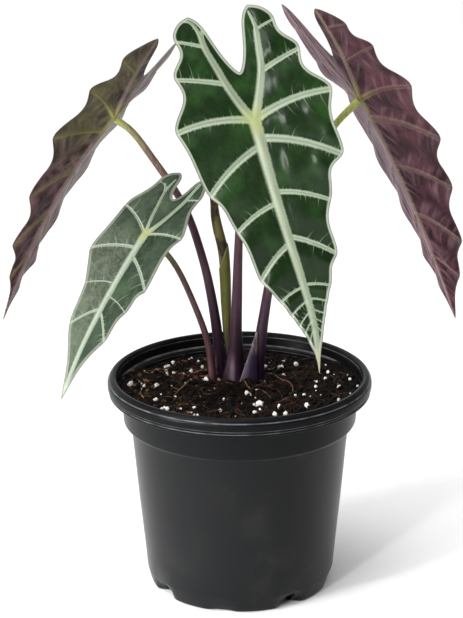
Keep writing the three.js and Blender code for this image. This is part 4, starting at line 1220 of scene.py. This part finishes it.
class Half:
    """One half of a leaf, as stations from the end of its lobe to the tip of the leaf."""

    def __init__(self, blade, side):
        shape = blade.shape
        values = shape[side]
        self.hand = 1 if side == "right" else -1
        self.back, self.out = values["lobe"]
        self.bow = values.get("bow", shape["costa_bow"])
        self.sinus, self.round = shape["sinus"], shape["lobe_round"]
        self.costa_line, self.costa_wide = values.get("costa"), values.get("costa_wide", 1)
        self.forks = [np.array(fork, float) for fork in values.get("forks", [])]
        stations = [(1, -self.back, self.out, 0, 0)] + values["lobe_ribs"]
        self.stalk = len(stations)
        stations = stations + values["ribs"] + [(blade.length, blade.length, 0, values["last_bay"], 0)]
        self.last = len(stations) - 1
        self.roots = [station[0] for station in stations]
        self.tips = np.array([station[1:3] for station in stations], float)
        self.bays = [station[3] for station in stations]
        self.strengths = [station[4] for station in stations]

    def costa(self, share):
        return np.stack([-self.back * share, self.out * share + self.bow * 4 * share * (1 - share)], -1)

    def spine(self, u):
        k = min(int(u), self.last - 1)
        f = u - k
        if k < self.stalk:
            end = self.roots[k + 1] if k + 1 < self.stalk else 0
            return self.costa(mix(self.roots[k], end, f))
        return np.array([mix(self.roots[k], self.roots[k + 1], f), 0.0])

    def margin(self, u):
        """A place on the margin. Its corners, where the ribs end, are rounded."""
        k = round(u)
        first, last = k - ROUND_BEFORE, k + ROUND_AFTER
        if not 0 < k < self.last or not first < u < last:
            return self.bay_line(u)
        a, b = self.bay_line(first), self.bay_line(last)
        step = 0.01
        leave = (a - self.bay_line(first - step)) / step * 2 * ROUND_BEFORE * CORNER_PULL
        arrive = (self.bay_line(last + step) - b) / step * 2 * ROUND_AFTER * CORNER_PULL
        return cubic(a, b, leave, arrive, (u - first) / (last - first))

    def bay_line(self, u):
        k = min(int(u), self.last - 1)
        f = u - k
        a, b = self.tips[k], self.tips[k + 1]
        run = b - a
        size = math.hypot(*run)
        skew = 1 if k in (0, self.last - 1) else BAY_SKEW
        bay = self.bays[k + 1]
        depth = bay * abs(math.sin(PI * f ** skew)) ** (BAY_ROUND if bay > 0 else 0.8)
        return a + run * f + np.array([run[1], -run[0]]) / size * depth

    def column(self, u, v):
        """Places from the midrib or costa, at v = 0, to the margin, at v = 1."""
        a, b = self.spine(u), self.margin(u)
        reach = math.hypot(*(b - a))
        bow = RIB_SWEEP * reach * v * (1 - v) * mix(0.25, 1, smooth(self.stalk - 0.6, self.stalk, u))
        return np.stack([mix(a[0], b[0], v) - bow, mix(a[1], b[1], v)], -1), reach

    def vein(self):
        """The costa as it is drawn, which ends where it forks."""
        if self.costa_line:
            return centripetal(self.costa_line, 40)
        return self.costa(np.linspace(0, 1, 40))

    def inner(self, share):
        size = math.hypot(self.back - self.sinus, self.out)
        off = (self.round * abs(math.sin(PI * share ** 3)) ** 0.8
               - 1.4 * math.sin(PI * share ** 0.6) * (1 - share))
        return np.array([
            mix(-self.sinus, -self.back, share) - self.out / size * off,
            max(mix(0, self.out, share) - (self.back - self.sinus) / size * off, 0.02 * share)])


def to_line(points, line):
    """Distance from each point to a broken line, and how far along it the nearest place is."""
    start, run = line[:-1], np.diff(line, axis=0)
    size = np.maximum((run ** 2).sum(1), 1e-9)
    gaps, lengths = np.empty(len(points)), np.empty(len(points))
    before = np.concatenate([[0], np.cumsum(np.sqrt(size))])
    for low in range(0, len(points), LINE_BLOCK):
        block = slice(low, low + LINE_BLOCK)
        rel = points[block, None, :] - start[None]
        t = np.clip((rel * run).sum(2) / size, 0, 1)
        far = ((rel - t[..., None] * run) ** 2).sum(2)
        best = far.argmin(1)
        rows = np.arange(len(best))
        gaps[block] = np.sqrt(far[rows, best])
        lengths[block] = before[best] + t[rows, best] * np.sqrt(size)[best]
    return gaps, lengths


class LeafMesh:
    """Collects a leaf's corners in its own coordinates, and the faces of its upper side."""

    def __init__(self, shape, spacing):
        self.blade = Blade(shape)
        self.veins = shape.get("veins", 1)
        self.halves = [Half(self.blade, "right"), Half(self.blade, "left")]
        self.spacing = spacing
        self.corners, self.lifts, self.bay_of = [], [], []
        self.count = 0
        self.faces, self.face_ribs = [], []
        steps = round(self.blade.length / spacing)
        midline = np.linspace(0, self.blade.length, steps + 1)
        self.midline = self.add(np.stack([midline, 0 * midline], 1), 0 * midline, (-1, -1))
        self.midline_s = midline
        for index, half in enumerate(self.halves):
            self.add_half(index, half)

    def add(self, flat, lift, bay):
        ids = np.arange(self.count, self.count + len(flat))
        self.corners.append(flat)
        self.lifts.append(lift)
        self.bay_of.append(np.tile(bay, (len(flat), 1)))
        self.count += len(flat)
        return ids

    def face(self, hand, rib, *ids):
        self.faces.append(ids if hand > 0 else ids[::-1])
        self.face_ribs.append(rib)

    def patch(self, hand, columns, ribs):
        for (left, right), rib in zip(zip(columns, columns[1:]), ribs):
            for j in range(len(left) - 1):
                self.face(hand, rib, left[j], right[j], right[j + 1], left[j + 1])

    def add_half(self, index, half):
        shape = self.blade.shape
        hand = half.hand
        widest = 0
        stops = []
        for k in range(half.last):
            (a, reach), (b, _) = half.column(k, np.array(0.6)), half.column(k + 1, np.array(0.6))
            widest = max(widest, reach)
            steps = max(8, math.ceil(np.linalg.norm(b - a) / self.spacing))
            x = np.arange(steps) / steps
            stops += [(k, f) for f in x - 0.55 * np.sin(2 * PI * x) / (2 * PI)]
        stops.append((half.last - 1, 1.0))
        rows = math.ceil(widest / (1.1 * self.spacing))
        x = np.arange(rows + 1) / rows
        v = x - 0.5 * np.sin(PI * x) / PI
        columns = []
        for k, f in stops:
            flat, reach = half.column(k + f, v)
            small = min(reach / 22, 1)
            swell = SWELL * math.sin(PI * f) * np.sin(PI * v ** 0.8) * small
            wave = -shape["wave"] * v * v * math.cos(2 * PI * f ** BAY_SKEW) * small ** 1.5
            flat = flat * [1, hand]
            columns.append(self.add(flat, swell + wave, (index, k)))
        nearest = [(index, k if f < 0.5 else k + 1) for k, f in stops]
        on_costa = sum(1 for k, f in stops if k < half.stalk) + 1
        self.patch(hand, columns[:on_costa], nearest)
        self.patch(hand, [column[1:] for column in columns[on_costa - 1:]], nearest[on_costa - 1:])
        # The midrib's corners are shared by both halves and sewn to the first row.
        first = [column[1] for column in columns[on_costa - 1:]]
        first_s = [float(half.column(k + f, v[1:2])[0][0, 0]) for k, f in stops[on_costa - 1:]]
        i = j = 0
        while i < len(self.midline) - 1 or j < len(first) - 1:
            rib = nearest[min(on_costa - 1 + j, len(nearest) - 1)]
            ahead = i < len(self.midline) - 1
            if j == len(first) - 1 or (ahead and self.midline_s[i + 1] <= first_s[j + 1]):
                self.face(hand, rib, self.midline[i], self.midline[i + 1], first[j])
                i += 1
            else:
                self.face(hand, rib, self.midline[i], first[j + 1], first[j])
                j += 1
        # Inside the lobe, from the edge that faces the other lobe up to the costa.
        inside = []
        for k, f in stops[:on_costa]:
            spine = half.spine(k + f)
            share = 0 if k >= half.stalk else -spine[0] / half.back
            edge = half.inner(share)
            reach = np.linspace(1, 0, INNER_ROWS + 1)[:, None]
            flat = mix(spine, edge, reach) * [1, hand]
            inside.append(self.add(flat, np.zeros(INNER_ROWS + 1), (-1, -1)))
        self.patch(hand, inside, [(-1, -1)] * len(inside))

    def outline(self, half):
        inner = [half.inner(share) for share in np.linspace(0, 1, 60)]
        margin = [half.margin(u) for u in np.linspace(0, half.last, 40 * half.last)]
        return np.array(inner + margin) * [1, half.hand]

    def finish(self):
        """Merges what meets and works out the distances that the veins are drawn from."""
        flat, lift, self.bay = (np.concatenate(v) for v in (self.corners, self.lifts, self.bay_of))
        flat[np.abs(flat[:, 1]) < 0.005, 1] = 0
        keys = np.rint(flat * MERGE_STEPS).astype(int)
        _, first, merged = np.unique(keys, axis=0, return_index=True, return_inverse=True)
        self.merged = merged.ravel()
        self.flat, self.lift = flat[first], lift[first]
        self.measure_ribs()
        self.measure_spines()
        self.edge = np.full(len(first), DEEP_INSIDE)
        for half in self.halves:
            self.edge = np.minimum(self.edge, to_line(self.flat, self.outline(half))[0])
        # Faces without repeated corners
        self.rings, self.ring_ribs = [], []
        for face, rib in zip(self.faces, self.face_ribs):
            ring = list(dict.fromkeys(self.merged[list(face)].tolist()))
            if len(ring) > 2:
                self.rings.append(ring)
                self.ring_ribs.append(rib)

    def in_bays(self, index, *bays):
        """Which corners lie in some of the bays of a half."""
        near = np.zeros(len(self.flat), bool)
        near[self.merged[(self.bay[:, 0] == index) & np.isin(self.bay[:, 1], bays)]] = True
        return near

    def measure_ribs(self):
        """Distances from the side ribs, and how far these raise the underside."""
        count = len(self.flat)
        self.rib_lines = {}
        self.gap, self.half = np.full(count, NO_VEIN), np.full(count, 1.0)
        self.under_rise = np.zeros(count)
        on_midline = np.zeros(count, bool)
        on_midline[self.merged[self.midline]] = True
        for index, half in enumerate(self.halves):
            for k in range(1, half.last):
                line, reach = half.column(k, np.linspace(0, 1, 25))
                near = self.in_bays(index, k - 1, k) | on_midline
                gap, along = np.full(count, NO_VEIN), np.zeros(count)
                gap[near], along[near] = to_line(self.flat[near], line * [1, half.hand])
                share = np.clip(along / reach, 0, 1)
                wide = half.strengths[k] * (0.68 + 0.038 * reach) * self.veins * mix(1, 0.72, share)
                # An offset keeps the side veins of each side of each rib apart from the others.
                along = along + 211.0 * k + 97.0 * index + 53.0 * self.in_bays(index, k)
                self.rib_lines[index, k] = np.stack([gap, along, wide, share], 1)
                closer = gap < self.gap
                self.gap[closer], self.half[closer] = gap[closer], wide[closer]
                bump = np.clip(1 - (gap / RIB_HALF) ** 2, 0, 1) ** 2
                height = SIDE_RIB * (1 - 0.8 * share) * bump * (0.5 + 0.5 * half.strengths[k])
                self.under_rise = np.maximum(self.under_rise, height)

    def measure_spines(self):
        """Distances from the midrib, the lobes' spines and the forks at their ends."""
        length = self.blade.length
        s, w = self.flat.T
        gap = np.hypot(np.minimum(s, 0), w)
        along = np.maximum(s, 0)
        wide = mix(*MIDRIB_WIDE, np.clip(along / length, 0, 1))
        crest = mix(1, 0.2, along / length)
        side = np.sign(w)
        for half in self.halves:
            # The offsets keep the side veins of each line apart from the others.
            lines = [(half.vein(), *(size * half.costa_wide for size in COSTA_WIDE), 1000.0)]
            lines += [(fork, *FORK_WIDE, 1400.0 + 100 * i) for i, fork in enumerate(half.forks)]
            for line, first, last, offset in lines:
                line = line * [1, half.hand]
                line_gap, line_along = to_line(self.flat, line)
                share = np.clip(line_along / np.linalg.norm(np.diff(line, axis=0), axis=1).sum(), 0, 1)
                half_width = mix(first, last, share)
                closer = (line_gap / half_width < gap / wide) & (s < 0)
                gap[closer], along[closer] = line_gap[closer], line_along[closer] + offset
                wide[closer] = half_width[closer]
                crest[closer] = 0.25 * first * mix(1, 0.2, share[closer])
                beside = w - np.interp(-s, -line[:, 0], line[:, 1])
                side[closer] = np.sign(beside[closer])
        self.spine_gap, self.spine_half = gap, wide * self.veins
        self.spine_along = along + 500.0 * np.sign(w)
        self.spine_across = np.clip(side * gap / self.spine_half, -3, 3)
        height = MIDRIB * crest * np.clip(1 - (gap / MIDRIB_HALF) ** 2, 0, 1) ** 2
        self.under_rise = np.maximum(self.under_rise, height)


def make_leaf(name, settings, materials, slot):
    """Makes one leaf from its measures. It carries the maps that its skins are drawn from."""
    shape = LEAVES[name]
    leaf = LeafMesh(shape, settings.spacing)
    leaf.finish()
    blade, count = leaf.blade, len(leaf.flat)
    s, w = leaf.flat.T
    # A side rib lies in a shallow groove of the upper side, and the midrib is a low round ridge.
    rib, ridge = leaf.gap / leaf.half, leaf.spine_gap / leaf.spine_half
    ratio = np.minimum(rib, ridge)
    relief = 0.15 * smooth(1.5, 0.9, rib) - 0.25 * smooth(0.6, 0, rib)
    proud = np.where(s < 0, PROUD["lobes"], mix(PROUD["stalk"], PROUD["tip"], s / blade.length))
    relief = mix(relief, proud * smooth(1.15, 0, ridge), smooth(1.5, 1.1, ridge))
    # Between the ribs the blade is quilted, in swells longer from rib to rib than across.
    quilt = np.array([noise.fractal((a * 0.06, b * 0.15, blade.length), 0.9, 2.0, 2)
                      for a, b in zip(s, w)])
    relief = relief + QUILT * quilt * smooth(0.9, 2.6, ratio)
    for at_s, at_w, long, broad, height in shape.get("blisters", []):
        relief = relief + height * np.exp(-((s - at_s) / long) ** 2 - ((w - at_w) / broad) ** 2)
    thick = mix(MARGIN_THICK, settings.thickness, smooth(0, 5, leaf.edge))
    top = leaf.lift + relief * smooth(0, 3, leaf.edge)
    under = top - thick - leaf.under_rise * smooth(0, 2.5, leaf.edge)
    points = np.concatenate([blade.place(s, w, top), blade.place(s, w, under)])
    # The edges that only one face has make the rim. A dict keeps them in their order.
    edges = {edge: None for ring in leaf.rings for edge in zip(ring, ring[1:] + ring[:1])}
    rim = [(a, a + count, b + count, b) for a, b in edges if (b, a) not in edges]
    faces = leaf.rings + [[c + count for c in reversed(ring)] for ring in leaf.rings] + rim
    ribs = leaf.ring_ribs * 2 + [(-1, -1)] * len(rim)
    kinds = [0] * len(leaf.rings) + [1] * len(leaf.rings) + [2] * len(rim)
    piece = from_parts(f"leaf_{name}", points, faces, 50)
    mesh = piece.data
    mesh.polygons.foreach_set("material_index", kinds)
    corner = np.array([c % count for face in faces for c in face])
    flat = mesh.uv_layers.new(name="flat")
    flat.data.foreach_set("uv", (leaf.flat[corner] / 100 + 1.0).ravel())
    spine = np.stack([leaf.spine_gap, leaf.spine_along, leaf.spine_half], 1)[corner]
    add_attribute(piece, "spine_line", spine, "FLOAT_VECTOR", "CORNER")
    rows, at = np.tile([NO_VEIN, 0, 1, 0], (len(corner), 1)), 0
    for face, rib in zip(faces, ribs):
        here = slice(at, at + len(face))
        if rib in leaf.rib_lines:
            rows[here] = leaf.rib_lines[rib][corner[here]]
        at += len(face)
    add_attribute(piece, "rib_line", rows[:, :3], "FLOAT_VECTOR", "CORNER")
    add_attribute(piece, "outward", rows[:, 3], "FLOAT", "CORNER")
    for key, values in (("spine_across", leaf.spine_across), ("edge_gap", leaf.edge),
                        ("from_stalk", np.hypot(s, w) / leaf.veins)):
        add_attribute(piece, key, np.tile(values, 2))
    finish_piece(piece, materials, slot, f"blade_{name}")


class MASKPLANT_OT_leaves(bpy.types.Operator):
    """Make the four leaves"""
    bl_idname = "mask_plant.leaves"
    bl_label = "Leaves"

    def execute(self, context):
        settings = context.scene.mask_plant.leaves
        dark = leaf_upper("waxed_dark_leaf", "152611", "243f1b", "9ba792", DARK_RIDGE_SHADED,
                          0.24, 0.26, (16.0, 0.12), 0.85, (0.14, 0.04, "4a5c44"), 0.6)
        mid = leaf_upper("waxed_mid_leaf", "1a2b18", "33462e", "99a494", MID_RIDGE_SHADED,
                         0.38, 0.3, (40.0, 0.8), 0.35, (0.62, 0.0, "666b5a"))
        maroon = leaf_under("maroon_underside", "220d12", "40202a", "2a141a", "4d2b33", "94707a",
                            "7d6a5c", "92806e", "1c080c", 0.9, "967281", 1, 0.5, 0.6)
        plum = leaf_under("plum_underside", "241016", "43232d", "2a141a", "4d2b33", "8a6772",
                          "7d6a5c", "8f7a6c", "1f0b10", 0.9, "4d2c36", 1, 0.5, 0.6)
        olive = leaf_under("olive_brown_underside", "2a181a", "64454c", "35321d", "5c583a", "96817f",
                           "6d6b42", "84706a", "1f1110", 1.7, "9a8386", -1, 0.55)
        rim = leaf_rim()
        make_leaf("centre", settings, [dark, plum, rim], "leaf_upper_green")
        make_leaf("left", settings, [dark, olive, rim], "leaf_under_purple")
        make_leaf("right", settings, [dark, maroon, rim], "leaf_under_purple")
        make_leaf("low", settings, [mid, plum, rim], "leaf_low_green")
        return {"FINISHED"}


# The stage

# Lamps: name, place, width, height, watts, spread in degrees, height of what it faces.
LAMPS = [
    ("window_left", (-0.95, -0.75, 0.95), 0.7, 0.9, 9, 180, 0.17),
    ("strip_left", (-0.6, -1.1, 0.5), 0.1, 0.7, 8.5, 180, 0.17),
    ("low_left", (-0.75, -0.5, 0.12), 0.3, 0.2, 0.45, 20, -0.01),
    ("window_right", (1.1, 0.1, 0.7), 0.3, 0.8, 1.2, 180, 0.17),
]


class MASKPLANT_OT_stage(bpy.types.Operator):
    """Set up the floor, the light and the camera"""
    bl_idname = "mask_plant.stage"
    bl_label = "Stage"

    def execute(self, context):
        settings = context.scene.mask_plant.stage
        scene = context.scene
        scene.view_settings.view_transform = "Standard"
        bpy.ops.mesh.primitive_plane_add(size=8)
        floor = context.active_object
        floor.name = "floor"
        floor.data.materials.append(floor_paper(settings))

        world = scene.world = bpy.data.worlds.new("studio")
        world.use_nodes = True
        world.node_tree.nodes.clear()
        add = partial(add_node, world.node_tree)
        # The room is white above, behind and on the left, dimmer on the right, and dark in front,
        # on the side that faces the plant.
        aside, ahead, above = add("split", add("place").outputs["Generated"]).outputs
        dim = add("MULTIPLY", add("soft", ahead, -0.15, -0.8), add("soft", above, 0.75, 0.4))
        room = add("mix", dim, add("range", aside, -0.1, 0.85, 1, 0.28), 0.08)
        strength = add("mix", add("ray").outputs["Is Camera Ray"], room, 1)
        add("sky", add("background", (1, 1, 1, 1), strength))

        for name, place, width, height, watts, spread, target in LAMPS:
            lamp = bpy.data.lights.new(name, "AREA")
            lamp.shape = "RECTANGLE"
            lamp.size, lamp.size_y, lamp.energy = width, height, watts
            lamp.spread = math.radians(spread)
            holder = add_object(name, lamp)
            holder.location = place
            facing = Vector((0, 0, target)) - Vector(place)
            holder.rotation_euler = facing.to_track_quat("-Z", "Y").to_euler()
        sun = bpy.data.lights.new("skylight", "SUN")
        sun.angle, sun.energy = math.radians(50), 1.1
        holder = add_object("skylight", sun)
        holder.rotation_euler = Vector((0.25, 0.15, -1)).to_track_quat("-Z", "Y").to_euler()

        pitch, roll = math.radians(CAMERA["pitch"]), math.radians(CAMERA["roll"])
        ahead = Vector((0, math.cos(pitch), -math.sin(pitch)))
        level, up = Vector((1, 0, 0)), Vector((0, math.sin(pitch), math.cos(pitch)))
        right = level * math.cos(roll) + up * math.sin(roll)
        top = up * math.cos(roll) - level * math.sin(roll)
        place = Vector((CAMERA["target_x"], 0, CAMERA["target_z"])) - ahead * CAMERA["distance"]
        lens = bpy.data.cameras.new("camera")
        lens.sensor_width = 36
        lens.lens = CAMERA["focal_px"] / IMAGE_HEIGHT * lens.sensor_width
        lens.clip_start, lens.clip_end = 0.05, 20
        camera = scene.camera = add_object("camera", lens)
        facing = Matrix((right, top, -ahead)).transposed().to_4x4()
        camera.matrix_world = Matrix.Translation(place * MM) @ facing
        return {"FINISHED"}


class MASKPLANT_OT_corm(bpy.types.Operator):
    """Give the buried corm its bark"""
    bl_idname = "mask_plant.corm"
    bl_label = "Corm"

    def execute(self, context):
        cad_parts["rootstock"].material_slots[0].material = corm_bark()
        return {"FINISHED"}


class MASKPLANT_PT_panel(bpy.types.Panel):
    """Lists the makers of the plant"""
    bl_idname = "MASKPLANT_PT_panel"
    bl_label = "Mask plant"
    bl_space_type = "VIEW_3D"
    bl_region_type = "UI"
    bl_category = "Mask plant"

    def draw(self, context):
        for maker in MAKERS:
            self.layout.operator(maker.bl_idname)
        settings = context.scene.mask_plant
        for group in (settings.pot, settings.soil, settings.stalks, settings.leaves, settings.stage):
            box = self.layout.box()
            for name in type(group).__annotations__:
                box.prop(group, name)


MAKERS = (MASKPLANT_OT_stage, MASKPLANT_OT_pot, MASKPLANT_OT_soil, MASKPLANT_OT_litter,
          MASKPLANT_OT_corm, MASKPLANT_OT_stalks, MASKPLANT_OT_spear, MASKPLANT_OT_leaves)
CLASSES = (PotSettings, SoilSettings, StalkSettings, LeafSettings, StageSettings, PlantSettings,
           *MAKERS, MASKPLANT_PT_panel)


def register():
    for each in CLASSES:
        bpy.utils.register_class(each)
    bpy.types.Scene.mask_plant = bpy.props.PointerProperty(type=PlantSettings)


def unregister():
    del bpy.types.Scene.mask_plant
    for each in reversed(CLASSES):
        bpy.utils.unregister_class(each)


def main():
    register()
    for maker in MAKERS:
        group, name = maker.bl_idname.split(".")
        getattr(getattr(bpy.ops, group), name)()


if __name__ == "__main__":
    main()
